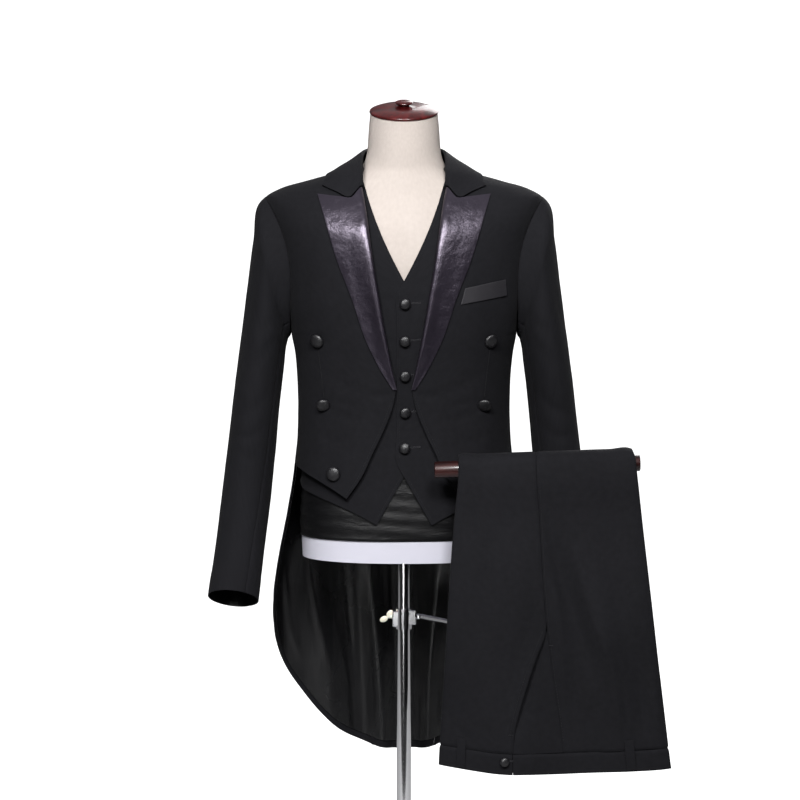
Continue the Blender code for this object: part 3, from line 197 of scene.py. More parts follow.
SeamPoint = namedtuple("SeamPoint", "height angle")
BACK_SEAM = [
    SeamPoint(0.440, 146), SeamPoint(0.700, 149), SeamPoint(0.955, 152), SeamPoint(1.040, 148),
    SeamPoint(1.120, 136), SeamPoint(1.2118, 107.6),
]
SIDE_ROWS = [0.995, 1.050, 1.100, 1.145, 1.180, 1.2118]
TAIL_ROWS = [0.0, 0.07, 0.18, 0.32, 0.48, 0.65, 0.83, 1.0]

Flute = namedtuple("Flute", "angle spread depth side")
FLUTES = [
    Flute(103, 8, 0.007, -1), Flute(120, 9, -0.011, -1), Flute(137, 9, 0.010, -1), Flute(155, 8, -0.008, -1),
    Flute(101, 8, 0.006, 1), Flute(118, 9, -0.010, 1), Flute(134, 8, 0.011, 1), Flute(153, 9, -0.009, 1),
]
FLUTE_TOP = 0.900
FLUTE_FULL = 0.560

Ring = namedtuple("Ring", "under_x under_z outer_x outer_z middle_y half_depth tilt")
SLEEVE = [
    Ring(0.1900, 1.1590, 0.2340, 1.3840, 0.001, 0.0690, 0),
    Ring(0.1905, 1.1580, 0.2435, 1.3450, 0.001, 0.0710, 0),
    Ring(0.1910, 1.1565, 0.2500, 1.2950, 0.001, 0.0730, 0),
    Ring(0.1915, 1.1545, 0.2570, 1.2430, 0.001, 0.0740, 0),
    Ring(0.1925, 1.1515, 0.2635, 1.1960, 0.001, 0.0740, 0),
    Ring(0.1940, 1.1420, 0.2685, 1.1560, 0.001, 0.0730, 0),
    Ring(0.1970, 1.1170, 0.2735, 1.1200, 0.000, 0.0710, 0),
    Ring(0.2015, 1.0825, 0.2786, 1.0825, -0.001, 0.0680, 1),
    Ring(0.2066, 1.0295, 0.2845, 1.0295, -0.002, 0.0640, 2),
    Ring(0.2116, 0.9764, 0.2910, 0.9764, -0.005, 0.0605, 5),
    Ring(0.2168, 0.9231, 0.2977, 0.9231, -0.012, 0.0580, 9),
    Ring(0.2221, 0.8698, 0.3035, 0.8698, -0.024, 0.0555, 13),
    Ring(0.2289, 0.8163, 0.3098, 0.8163, -0.038, 0.0530, 17),
    Ring(0.2342, 0.7700, 0.3170, 0.7720, -0.054, 0.0510, 21),
    Ring(0.2378, 0.7330, 0.3200, 0.7400, -0.068, 0.0495, 25),
]

# The level where the folded legs meet the bar, at the middle of their width
BAR_LEVEL = 0.980
Outline = namedtuple("Outline", "height left right")
TROUSER_FRONT = [
    Outline(0.480, 0.0545, 0.4260), Outline(0.520, 0.0563, 0.4205), Outline(0.620, 0.0620, 0.4080),
    Outline(0.730, 0.0680, 0.3950), Outline(0.855, 0.0755, 0.3800), Outline(BAR_LEVEL, 0.0855, 0.3655),
]
TROUSER_BACK = [
    Outline(0.500, 0.1500, 0.3550), Outline(0.690, 0.1450, 0.3590), Outline(0.850, 0.1150, 0.3640),
    Outline(BAR_LEVEL, 0.0855, 0.3655),
]
SIDE_SEAM = [
    Edge(0.480, 0.2535), Edge(0.520, 0.2510), Edge(0.571, 0.2445), Edge(0.637, 0.2350),
    Edge(0.710, 0.2260), Edge(0.767, 0.2210), Edge(0.906, 0.2125), Edge(0.998, 0.2080),
]
POCKET = [
    Edge(0.480, 0.1715), Edge(0.546, 0.1757), Edge(0.597, 0.1880), Edge(0.652, 0.2055), Edge(0.708, 0.2262),
]
WAIST_EDGE = [Hem(0.0545, 0.4905), Hem(0.1750, 0.4750), Hem(0.4260, 0.4840)]
WAISTBAND = 0.0340
WAIST_LEFT = 0.0550
WAIST_WIDTH = 0.3655
WAIST_BUTTON_ALONG = 0.046
LOOP_CLOTH = 0.0016
TROUSER_HEM = 0.500
TROUSER_DROP = 0.497
TOP_CORNER = 0.0045
FAR_LEG = (0.0010, 0.0044)
NEAR_LEG_IN = 0.0052
NEAR_LEG_OUT = 0.0108

Button = namedtuple("Button", "reach height droop turn")
COAT_BUTTONS = [Button(0.1385, 1.1606, 10, 8), Button(0.1290, 1.0573, 44, 40), Button(0.1122, 0.9465, 16, 12)]
VEST_BUTTONS = [Button(0.0015, h, d, t) for h, d, t in (
    (1.2214, 6, 8), (1.1628, 8, -6), (1.1057, 5, 10), (1.0468, 12, 14), (0.9880, 4, -10))]
COAT_BUTTON_RADIUS = 0.0115
VEST_BUTTON_RADIUS = 0.0088
WAIST_BUTTON_RADIUS = 0.0075
BUTTON_LEAN = 0.75

WELT = {
    "left": 0.0900, "right": 0.1640, "low_left": 1.2192, "low_right": 1.2323, "width": 0.0260,
    "thickness": 0.0016,
}


# Finishes

def node(tree, kind, inputs=None, **settings):
    """A shader node with its settings, and its inputs given as values or as other nodes' outputs."""
    made = tree.nodes.new(kind)
    for key, value in settings.items():
        setattr(made, key, value)
    for key, value in (inputs or {}).items():
        if isinstance(value, bpy.types.NodeSocket):
            tree.links.new(value, made.inputs[key])
        else:
            made.inputs[key].default_value = value
    return made


def effect(name, inputs, outputs):
    """An empty node group with named number or vector inputs and number outputs."""
    group = bpy.data.node_groups.new(name, "ShaderNodeTree")
    for key, value in inputs.items():
        kind = "NodeSocketVector" if value is None else "NodeSocketFloat"
        socket = group.interface.new_socket(key, in_out="INPUT", socket_type=kind)
        if value is not None:
            socket.default_value = value
    for key in outputs:
        group.interface.new_socket(key, in_out="OUTPUT", socket_type="NodeSocketFloat")
    return group, group.nodes.new("NodeGroupInput"), group.nodes.new("NodeGroupOutput")


def number(tree, operation, *values):
    return node(tree, "ShaderNodeMath", dict(enumerate(values)), operation=operation).outputs[0]


def scaled_tone(tree, tone, amount, level):
    """A tone made so strong and moved up to start at a level."""
    return number(tree, "ADD", number(tree, "MULTIPLY", tone, amount), level)


def feed(tree, shader, **sources):
    """Links outputs to the shader's sockets of those names."""
    for key, source in sources.items():
        tree.links.new(source, shader.inputs[key.replace("_", " ")])


def make_twill_effect():
    """Diagonal ribs crossed by their threads, in the cloth's own map, and the yarn's unevenness."""
    group, given, out = effect("twill", {"Vector": None, "Threads": 900.0, "Slant": 1.0}, ["Height", "Tone"])
    scaled = node(group, "ShaderNodeVectorMath", {0: given.outputs["Vector"]}, operation="SCALE")
    group.links.new(given.outputs["Threads"], scaled.inputs["Scale"])
    parts = node(group, "ShaderNodeSeparateXYZ", {0: scaled.outputs[0]})
    across = number(group, "MULTIPLY", parts.outputs[0], given.outputs["Slant"])
    slanted = number(group, "ADD", across, parts.outputs[1])
    rib = number(group, "SINE", number(group, "MULTIPLY", slanted, math.tau))
    thread = number(group, "SINE", number(group, "MULTIPLY", parts.outputs[0], 2 * math.tau))
    height = scaled_tone(group, rib, 0.35, number(group, "MULTIPLY", thread, 0.15))
    yarn = node(group, "ShaderNodeTexNoise", {"Vector": scaled.outputs[0], "Scale": 0.11, "Detail": 3.0})
    group.links.new(number(group, "ADD", height, 0.5), out.inputs["Height"])
    group.links.new(yarn.outputs["Fac"], out.inputs["Tone"])
    return group


def make_cloud_effect():
    """Slow changes over a surface, with finer ones in them."""
    group, given, out = effect("cloud", {"Vector": None, "Size": 0.1, "Stretch": 1.0}, ["Tone"])
    rate = number(group, "DIVIDE", 1.0, given.outputs["Size"])
    parts = node(group, "ShaderNodeSeparateXYZ", {0: given.outputs["Vector"]})
    down = number(group, "DIVIDE", parts.outputs[2], given.outputs["Stretch"])
    place = node(group, "ShaderNodeCombineXYZ", {0: parts.outputs[0], 1: parts.outputs[1], 2: down})
    cloud = node(group, "ShaderNodeTexNoise", {"Vector": place.outputs[0], "Detail": 4.0, "Roughness": 0.55})
    group.links.new(rate, cloud.inputs["Scale"])
    group.links.new(cloud.outputs["Fac"], out.inputs["Tone"])
    return group


TWILL = make_twill_effect()
CLOUD = make_cloud_effect()


def finish(name, **values):
    """A material and its shader, with plain values on the shader's own sockets."""
    made = bpy.data.materials.new(name)
    made.use_nodes = True
    shader = made.node_tree.nodes["Principled BSDF"]
    for key, value in values.items():
        shader.inputs[key.replace("_", " ")].default_value = value
    return made, made.node_tree, shader


def placed(tree):
    return node(tree, "ShaderNodeTexCoord").outputs["Object"]


def mapped(tree):
    return node(tree, "ShaderNodeUVMap", uv_map="UVMap").outputs["UV"]


def cloudy(tree, size, stretch=1.0):
    group = node(tree, "ShaderNodeGroup", node_tree=CLOUD)
    tree.links.new(placed(tree), group.inputs["Vector"])
    group.inputs["Size"].default_value = size
    group.inputs["Stretch"].default_value = stretch
    return group.outputs["Tone"]


def ramp(tree, tone, *stops):
    """Colours along a tone, each stop a place and a colour."""
    made = node(tree, "ShaderNodeValToRGB", {"Fac": tone})
    stations = made.color_ramp.elements
    while len(stations) < len(stops):
        stations.new(0.5)
    for station, (place, colour) in zip(stations, stops):
        station.position = place
        station.color = (*colour, 1) if len(colour) == 3 else colour
    return made.outputs["Color"]


def bumped(tree, shader, *layers):
    """Feeds the shader's normal from heights, each given as its output, distance and strength."""
    normal = None
    for height, distance, strength in layers:
        bump = node(tree, "ShaderNodeBump", {"Height": height, "Distance": distance, "Strength": strength})
        if normal:
            tree.links.new(normal, bump.inputs["Normal"])
        normal = bump.outputs["Normal"]
    feed(tree, shader, Normal=normal)


def woven(name, dark, light, threads, depth, roughness, creases=0.0, crease_size=0.05, stretch=3.0, **values):
    """A woven cloth: twill in its own map, uneven yarn, slow changes of tone, and soft small creases."""
    made, tree, shader = finish(name, **values)
    twill = node(tree, "ShaderNodeGroup", node_tree=TWILL)
    tree.links.new(mapped(tree), twill.inputs["Vector"])
    twill.inputs["Threads"].default_value = threads
    slow = cloudy(tree, 0.16, 1.6)
    yarn = number(tree, "MULTIPLY", twill.outputs["Tone"], 0.35)
    tone = scaled_tone(tree, slow, 0.65, yarn)
    feed(
        tree, shader, Base_Color=ramp(tree, tone, (0.30, dark), (0.70, light)),
        Roughness=scaled_tone(tree, slow, 0.10, roughness - 0.05),
    )
    layers = [(twill.outputs["Height"], depth, 0.6)]
    if creases:
        layers.insert(0, (cloudy(tree, crease_size, stretch), creases, 0.7))
    bumped(tree, shader, *layers)
    return made


def whiten(material, pale):
    """The hips, which the clothes leave bare, are covered in a whiter cloth than the neck."""
    tree = material.node_tree
    shader = tree.nodes["Principled BSDF"]
    height = node(tree, "ShaderNodeSeparateXYZ", {0: placed(tree)}).outputs[2]
    share = node(tree, "ShaderNodeMapRange", {"Value": height, "From Min": 1.0, "From Max": 1.1})
    cloth_colour = shader.inputs["Base Color"].links[0].from_socket
    mixed = {"Fac": share.outputs[0], "Color1": (*pale, 1), "Color2": cloth_colour}
    feed(tree, shader, Base_Color=node(tree, "ShaderNodeMixRGB", mixed).outputs[0])


def make_wood(name, dark, light, along):
    """Turned wood under a clear gloss, its grain running along an axis."""
    made, tree, shader = finish(
        name, Coat_Weight=0.45, Coat_Roughness=0.10, Coat_IOR=1.45, Specular_IOR_Level=0.4,
    )
    scale = [55.0, 55.0, 55.0]
    scale[along] = 6.0
    squeezed = node(tree, "ShaderNodeMapping", {"Vector": placed(tree), "Scale": scale})
    place = squeezed.outputs[0]
    streaks = {"Vector": place, "Scale": 1.6, "Detail": 6.0, "Distortion": 0.8}
    grain = node(tree, "ShaderNodeTexNoise", streaks).outputs["Fac"]
    pores = node(tree, "ShaderNodeTexNoise", {"Vector": place, "Scale": 9.0, "Detail": 3.0}).outputs["Fac"]
    feed(
        tree, shader, Base_Color=ramp(tree, grain, (0.34, dark), (0.66, light)),
        Roughness=scaled_tone(tree, grain, 0.15, 0.28),
    )
    bumped(tree, shader, (pores, 0.0002, 0.15))
    return made


def make_metal(name, colour, roughness):
    made, tree, shader = finish(name, Base_Color=(*colour, 1), Metallic=1.0)
    feed(tree, shader, Roughness=scaled_tone(tree, cloudy(tree, 0.05, 6.0), 0.10, roughness - 0.04))
    bumped(tree, shader, (cloudy(tree, 0.012, 1.0), 0.0002, 0.05))
    return made


def make_plastic(name, dark, light):
    made, tree, shader = finish(name, Specular_IOR_Level=0.5, Subsurface_Weight=0.15, Subsurface_Scale=0.004)
    feed(
        tree, shader, Base_Color=ramp(tree, cloudy(tree, 0.01), (0.3, dark), (0.7, light)),
        Roughness=scaled_tone(tree, cloudy(tree, 0.02), 0.15, 0.28),
    )
    bumped(tree, shader, (cloudy(tree, 0.003), 0.0001, 0.15))
    return made


WOOL = woven(
    "black_wool", (0.0108, 0.0107, 0.0124), (0.0172, 0.0170, 0.0196), 950.0, 0.00022, 0.78,
    creases=0.0016, crease_size=0.10, Sheen_Weight=0.02, Sheen_Roughness=0.5, Specular_IOR_Level=0.08,
)
SATIN = woven(
    "black_satin", (0.0100, 0.0084, 0.0122), (0.0180, 0.0152, 0.0215), 2600.0, 0.00005, 0.30,
    creases=0.0018, crease_size=0.018, stretch=0.8, Specular_IOR_Level=0.90, Anisotropic=0.35,
    Specular_Tint=(0.93, 0.84, 1.0, 1),
)
TAIL_SATIN = woven(
    "lining_satin", (0.0018, 0.0018, 0.0023), (0.0044, 0.0044, 0.0054), 2600.0, 0.00005, 0.27,
    creases=0.0034, crease_size=0.034, stretch=7.0, Specular_IOR_Level=0.60, Anisotropic=0.25,
)
BUTTON_SATIN = woven(
    "button_satin", (0.0060, 0.0058, 0.0070), (0.0115, 0.0110, 0.0130), 1800.0, 0.00010, 0.38,
    creases=0.0003, crease_size=0.004, stretch=1.0, Specular_IOR_Level=0.7,
)
# Painted sheen: the welt is the suit's own cloth, but its base colour is painted lighter than the wool to
# stand in for the sheen it catches. Its stronger shine is real.
WELT_CLOTH_PAINTED_SHEEN = woven(
    "welt_cloth_painted_sheen", (0.0150, 0.0140, 0.0168), (0.0250, 0.0236, 0.0280), 1800.0, 0.00012, 0.50,
    creases=0.0004, crease_size=0.020, Specular_IOR_Level=0.55,
)
LINEN = woven(
    "form_linen", (0.42, 0.372, 0.342), (0.51, 0.460, 0.426), 1100.0, 0.00030, 0.86,
    creases=0.0004, crease_size=0.05, stretch=1.0, Specular_IOR_Level=0.2, Sheen_Weight=0.05,
)
whiten(LINEN, (0.56, 0.555, 0.62))
HIP_CLOTH = woven(
    "hip_wrap_cloth", (0.0030, 0.0030, 0.0034), (0.0060, 0.0059, 0.0068), 1500.0, 0.00012, 0.45,
    creases=0.0030, crease_size=0.035, stretch=0.35, Specular_IOR_Level=0.3,
)
CAP_WOOD = make_wood("turned_mahogany", (0.026, 0.0016, 0.0018), (0.100, 0.0070, 0.0072), 2)
BAR_WOOD = make_wood("bar_mahogany", (0.010, 0.0026, 0.0026), (0.040, 0.0085, 0.0075), 0)
CHROME = make_metal("polished_chrome", (0.80, 0.80, 0.82), 0.12)
CREAM = make_plastic("cream_plastic", (0.60, 0.57, 0.47), (0.72, 0.69, 0.59))


def make_thread(name, colour, roughness):
    made, tree, shader = finish(name, Base_Color=(*colour, 1), Roughness=roughness, Specular_IOR_Level=0.4)
    twist = node(tree, "ShaderNodeTexWave", {"Vector": placed(tree), "Scale": 900.0, "Distortion": 1.0})
    bumped(tree, shader, (twist.outputs["Fac"], 0.0001, 0.4))
    return made


THREAD = make_thread("black_thread", (0.008, 0.008, 0.009), 0.6)
# Painted highlight: the buttonhole thread's colour is painted lighter than the black thread to stand in for
# the highlights along the worked edges. Its lower roughness is real shine.
HOLE_THREAD_PAINTED_HIGHLIGHT = make_thread("buttonhole_twist_painted_highlight", (0.026, 0.025, 0.029), 0.45)


# Forms

def mix(a, b, t):
    return a + (b - a) * t


def ease(t):
    """0 below 0, 1 above 1 and a smooth step between."""
    t = min(max(t, 0.0), 1.0)
    return t * t * (3 - 2 * t)


def arc(start, end, leaving, arriving, t):
    """A smooth curve between two values or rows of points, with its slopes at both ends."""
    return (
        start * (2 * t**3 - 3 * t**2 + 1) + leaving * (t**3 - 2 * t**2 + t)
        + end * (3 * t**2 - 2 * t**3) + arriving * (t**3 - t**2)
    )


def slope_at(xs, ys, i):
    """The slope of a smooth curve at one of its points, flat at a turn, so that it never overshoots."""
    if i == 0 or i == len(xs) - 1:
        j = min(i, len(xs) - 2)
        return (ys[j + 1] - ys[j]) / (xs[j + 1] - xs[j])
    before = (ys[i] - ys[i - 1]) / (xs[i] - xs[i - 1])
    after = (ys[i + 1] - ys[i]) / (xs[i + 1] - xs[i])
    return 0.0 if before * after <= 0 else 2 * before * after / (before + after)


def smooth(table, x, column, key=0):
    """The value of a table's column at x, along a smooth curve through its rows."""
    xs = [row[key] for row in table]
    ys = [row[column] for row in table]
    if x <= xs[0]:
        return ys[0] + slope_at(xs, ys, 0) * (x - xs[0])
    if x >= xs[-1]:
        return ys[-1] + slope_at(xs, ys, len(xs) - 1) * (x - xs[-1])
    i = max(k for k in range(len(xs) - 1) if xs[k] <= x)
    span = xs[i + 1] - xs[i]
    t = (x - xs[i]) / span
    return arc(ys[i], ys[i + 1], slope_at(xs, ys, i) * span, slope_at(xs, ys, i + 1) * span, t)


class Figure:
    """A body made of sections. A point on it is an angle in degrees round the ring and a height."""

    def __init__(self, sections):
        self.sections = sections

    def ring(self, height):
        return Section(height, *(smooth(self.sections, height, c) for c in range(1, 6)))

    def point(self, angle, height):
        ring = self.ring(height)
        across, along = math.sin(math.radians(angle)), math.cos(math.radians(angle))
        depth = ring.front if along > 0 else ring.back
        n = ring.square
        radius = ((abs(across) / ring.half_width) ** n + (abs(along) / depth) ** n) ** (-1 / n)
        return Vector((radius * across, ring.middle - radius * along, height))

    def normal(self, angle, height):
        round_it = self.point(angle + 0.4, height) - self.point(angle - 0.4, height)
        up = self.point(angle, height + 0.0004) - self.point(angle, height - 0.0004)
        return round_it.cross(up).normalized()

    def at(self, side, angle, height, out=0.0):
        """The point on the side of the figure that side's sign names, out from its surface."""
        p = self.point(angle, height) + self.normal(angle, height) * out
        return Vector((side * p.x, p.y, p.z))

    def reached(self, side, reach, height, out=0.0):
        """The point on that side whose distance from the centre line is the reach."""
        return self.at(side, self.angle_for(height, reach=reach), height, out)

    def angle_for(self, height, reach=None, depth=None, back=False):
        """The angle at which the ring has that reach from the centre line, or that depth along Y."""
        low, high = (90.0, 180.0) if back else (0.0, 90.0)
        for _ in range(40):
            middle = (low + high) / 2
            p = self.point(middle, height)
            past = p.x > reach if reach is not None else p.y > depth
            if back and reach is not None:
                past = not past
            low, high = (low, middle) if past else (middle, high)
        return (low + high) / 2


form = Figure(FORM)
coat = Figure(COAT)


def cuts(length, edges):
    """Where a span of cloth is cut into cells, as shares of it, with finer cells near a free end."""
    count = max(1, math.ceil(length / CELL))
    shares = {k / count for k in range(count)}
    for first, near in ((True, edges[0]), (False, edges[1])):
        for step in EDGE_CELLS if near else ():
            share = step / length if first else 1 - step / length
            if 0.02 < share < 0.98:
                shares = {s for s in shares if s == 0 or abs(s - share) > 0.3 / count} | {share}
    return sorted(shares)


def finer(grid):
    """A grid of points with smooth curves through them, cut into small cells both ways."""
    for axis in (0, 1):
        lines = np.moveaxis(grid, axis, 0)
        steps = np.maximum(np.linalg.norm(np.diff(lines, axis=0), axis=2), 1e-6)[..., None]
        chords = np.diff(lines, axis=0) / steps
        inner = (chords[:-1] * steps[1:] + chords[1:] * steps[:-1]) / (steps[1:] + steps[:-1])
        slopes = np.concatenate([chords[:1], inner, chords[-1:]])
        made = []
        last = len(lines) - 2
        for i in range(len(lines) - 1):
            for t in cuts(float(steps[i].mean()), (i == 0, i == last)):
                made.append(arc(lines[i], lines[i + 1], slopes[i] * steps[i], slopes[i + 1] * steps[i], t))
        made.append(lines[-1])
        grid = np.moveaxis(np.array(made), 0, axis)
    return grid


# A crease of the cloth: the points that it runs through, its half width and its depth, minus for a ridge
Crease = namedtuple("Crease", "through width depth")


def along_crease(points, count=14):
    """Points along a smooth curve through three or more given ones."""
    dense = []
    for i in range(count + 1):
        place = i / count * (len(points) - 1)
        table = [(k, *p) for k, p in enumerate(points)]
        dense.append([smooth(table, place, c) for c in (1, 2, 3)])
    return np.array(dense)


def crease_depth(grid, creases):
    """How deep the creases are at each point of a grid. Each fades out towards both of its ends."""
    depth = np.zeros(grid.shape[:2])
    for crease in creases:
        line = along_crease(crease.through)
        starts, steps = line[:-1], np.diff(line, axis=0)
        offsets = grid[:, :, None, :] - starts
        shares = np.clip((offsets * steps).sum(axis=3) / (steps**2).sum(axis=1), 0, 1)
        gap = np.linalg.norm(offsets - shares[..., None] * steps, axis=3)
        nearest = gap.argmin(axis=2)[..., None]
        place = (nearest + np.take_along_axis(shares, nearest, axis=2))[..., 0] / len(steps)
        fade = np.sin(np.pi * np.clip(place, 0.02, 0.98)) ** 0.7
        depth += crease.depth * fade * np.exp(-((gap.min(axis=2) / crease.width) ** 2))
    return depth


def from_edges(grid):
    """Distances along the cloth from its first and last column and its first and last row."""
    across = np.linalg.norm(np.diff(grid, axis=1), axis=2)
    along = np.linalg.norm(np.diff(grid, axis=0), axis=2)
    u = np.concatenate([np.zeros((len(grid), 1)), np.cumsum(across, axis=1)], axis=1)
    v = np.concatenate([np.zeros((1, grid.shape[1])), np.cumsum(along, axis=0)], axis=0)
    return u, u[:, -1:] - u, v, v[-1:] - v


def creases_at(spot, rows):
    """Creases from rows of three places, as spot takes them, with the half width and the depth."""
    return [Crease([spot(*p) for p in row[:3]], *row[3:]) for row in rows]


SEAM_DEPTH = 0.0015
SEAM_WIDTH = 0.0024
HEM_STEP = 0.00035


def edge_relief(grid, sewn, hems):
    """Sewn edges sink into their seams. A hem's turning stands out a little as far as it reaches."""
    relief = np.zeros(grid.shape[:2])
    for name, distance in zip(("first", "last", "low", "high"), from_edges(grid)):
        if name in sewn:
            relief -= SEAM_DEPTH * np.exp(-((distance / SEAM_WIDTH) ** 2))
        if name in hems:
            relief += HEM_STEP / (1 + np.exp(np.minimum((distance - hems[name]) / 0.0015, 60)))
    return relief


def finished_mesh(name, shape, sharp=None):
    """The shape as a smooth mesh, with its edges sharp past that many degrees."""
    mesh = bpy.data.meshes.new(name)
    shape.to_mesh(mesh)
    shape.free()
    mesh.shade_smooth()
    if sharp:
        mesh.set_sharp_from_angle(angle=math.radians(sharp))
    return mesh


def chart(shape, place):
    """The shape's own map, from each corner's vertex."""
    layer = shape.loops.layers.uv.new("UVMap")
    for face in shape.faces:
        for loop in face.loops:
            loop[layer].uv = place(loop.vert)


def panel_mesh(name, grid, normals):
    rows, columns = grid.shape[:2]
    panel = bmesh.new()
    bmesh.ops.create_grid(panel, x_segments=columns - 1, y_segments=rows - 1, size=0.5)
    u, _, v, _ = from_edges(grid)
    middle = u[:, -1:].mean() / 2
    cells = {}
    for vert in panel.verts:
        cell = round((vert.co.y + 0.5) * (rows - 1)), round((vert.co.x + 0.5) * (columns - 1))
        cells[vert] = cell
        vert.co = grid[cell]
    chart(panel, lambda vert: (u[cells[vert]] - middle, v[cells[vert]]))
    panel.normal_update()
    if sum(face.normal @ Vector(normals[cells[face.verts[0]]]) for face in panel.faces) < 0:
        bmesh.ops.reverse_faces(panel, faces=panel.faces[:])
    return finished_mesh(name, panel)


def moved(*by):
    return Matrix.Translation(by)


def tipped(degrees, axis):
    return Matrix.Rotation(math.radians(degrees), 4, axis)


def new_piece(name, mesh, materials, slot, *nodes):
    made = bpy.data.objects.new(name, mesh)
    bpy.context.scene.collection.objects.link(made)
    for material in materials:
        mesh.materials.append(material)
    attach(made, "root")
    if nodes:
        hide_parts(*nodes)
    return made


def give_wall(made, thickness, inner_material=0):
    wall = made.modifiers.new("thickness", "SOLIDIFY")
    wall.thickness = thickness
    wall.offset = -1
    wall.material_offset = inner_material
    wall.material_offset_rim = 0


def round_edges(made, width):
    edge = made.modifiers.new("turned edge", "BEVEL")
    edge.width = width
    edge.segments = 2
    edge.limit_method = "ANGLE"
    edge.angle_limit = math.radians(50)


Cut = namedtuple("Cut", "width length area held rests_on")


def cloth(
        node_name, columns, rows, place, thickness, materials, slot, cut,
        creases=(), sewn=(), hems=None, soft=0.0004):
    """A thin cloth piece on its solid's form, with creases, seams and a rounded edge all round."""
    outer, inner = (
        np.array([[place(c, r, face) for c in range(columns + 1)] for r in range(rows + 1)])
        for face in (0, 1)
    )
    grid = finer(outer)
    normals = outward(grid, outer, inner)
    relief = edge_relief(grid, sewn, hems or {}) - crease_depth(grid, creases)
    hand = np.array([
        [noise.noise(Vector(p) * 19.0) + 0.4 * noise.noise(Vector(p) * 55.0) for p in row] for row in grid
    ])
    grid = grid + normals * (relief + soft * hand)[..., None]
    name = node_name + "_cloth"
    made = new_piece(name, panel_mesh(name, grid, normals), materials, slot, node_name)
    give_wall(made, thickness, len(materials) - 1)
    round_edges(made, thickness * 0.3)
    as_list(cut.rests_on)
    return made


def outward(grid, outer, inner):
    """Unit normals of the fine grid, on the outer side of the wall that the coarse one is a face of."""
    coarse = np.cross(np.gradient(outer, axis=1), np.gradient(outer, axis=0))
    side = 1 if (coarse * (outer - inner)).sum() > 0 else -1
    normals = np.cross(np.gradient(grid, axis=1), np.gradient(grid, axis=0))
    return side * normals / np.maximum(np.linalg.norm(normals, axis=2, keepdims=True), 1e-12)


def turned(name, profile, segments, materials, slot, nodes, place=None, sharp=40):
    """A turned piece. The profile runs from the axis at the bottom round to the axis at the top."""
    lathe = bmesh.new()
    verts = [lathe.verts.new((r, 0, z)) for r, z in profile]
    edges = [lathe.edges.new(pair) for pair in zip(verts, verts[1:])]
    bmesh.ops.spin(
        lathe, geom=verts + edges, cent=(0, 0, 0), axis=(0, 0, 1),
        angle=math.tau, steps=segments, use_merge=True,
    )
    bmesh.ops.remove_doubles(lathe, verts=lathe.verts[:], dist=1e-6)
    bmesh.ops.recalc_face_normals(lathe, faces=lathe.faces[:])
    chart(lathe, lambda vert: vert.co.xy)
    if place:
        bmesh.ops.transform(lathe, matrix=place, verts=lathe.verts[:])
    return new_piece(name, finished_mesh(name, lathe, sharp), materials, slot, *nodes)


def tube(around, rows, step, place):
    """A tube of rings, a step apart in its map. place takes a turn in degrees and a row."""
    shell = bmesh.new()
    bmesh.ops.create_circle(shell, segments=around, radius=1, cap_ends=False)
    ring_edges = shell.edges[:]
    for j in range(1, rows + 1):
        made = bmesh.ops.extrude_edge_only(shell, edges=ring_edges)["geom"]
        for v in (g for g in made if isinstance(g, bmesh.types.BMVert)):
            v.co.z = j
        ring_edges = [g for g in made if isinstance(g, bmesh.types.BMEdge)]
    layer = shell.loops.layers.uv.new("UVMap")
    for face in shell.faces:
        turns = [math.degrees(math.atan2(loop.vert.co.x, loop.vert.co.y)) % 360 for loop in face.loops]
        for loop, turn in zip(face.loops, turns):
            turn += 360 if turn < 90 and max(turns) > 270 else 0
            loop[layer].uv = (math.radians(turn) * MEAN_RADIUS, loop.vert.co.z * step)
    for v in shell.verts:
        turn = math.degrees(math.atan2(v.co.x, v.co.y))
        p = place(turn, round(v.co.z))
        v.co = (math.copysign(abs(p.x), turn), p.y, p.z)
    return shell


# The stand and the dress form

def form_point(angle, height):
    p = form.point(angle, height)
    covered = ease((height - 0.97) / 0.04) * ease((1.445 - height) / 0.01)
    p -= form.normal(angle, height) * (FORM_EASE * covered)
    tilt = ease((height - 1.46) / (NECK_TOP - 1.46))
    return p + Vector((0, 0, p.y * math.tan(NECK_TILT) * tilt))


def make_form():
    """The linen-covered body, with a smooth fine skin."""
    step = 0.006
    rows = round((NECK_TOP - FORM_BOTTOM) / step)

    def place(turn, row):
        return form_point(abs(turn), mix(FORM_BOTTOM, NECK_TOP, row / rows))

    skin = tube(96, rows, step, place)
    for low, high in ((FORM_BOTTOM - step, FORM_BOTTOM + 1e-5), (NECK_TOP - 0.03, NECK_TOP + 0.03)):
        end_edges = [e for e in skin.edges if e.is_boundary and low < e.verts[0].co.z < high]
        bmesh.ops.contextual_create(skin, geom=end_edges)
    bmesh.ops.recalc_face_normals(skin, faces=skin.faces[:])
    mesh = finished_mesh("form_linen_skin", skin, 60)
    new_piece("dress_form_skin", mesh, [LINEN], "form_linen", "dress_form")


def make_neck_cap():
    under = GAP + 0.0002
    rim = [(-0.003, 0), (-0.0008, 0.0006), (0, 0.0025), (-0.0006, 0.0042), (-0.0022, 0.0052)]
    knob = [
        (0.051, 0.0066), (0.044, 0.0090), (0.034, 0.0106), (0.022, 0.0115), (0.012, 0.0119), (0.0090, 0.0125),
        (0.0092, 0.0140), (0.0128, 0.0156), (0.0145, 0.0170), (0.0142, 0.0184), (0.0125, 0.0195),
        (0.0070, 0.0203), (0, 0.0205),
    ]
    profile = [(0, 0), *((CAP_RADIUS + r, z) for r, z in rim), *knob]
    place = moved(0, 0.001, NECK_TOP) @ Matrix.Rotation(NECK_TILT, 4, "X")
    lifted = [(r, under + z) for r, z in profile]
    turned("neck_cap_turned", lifted, 72, [CAP_WOOD], "mahogany", ["neck_cap"], place, 60)


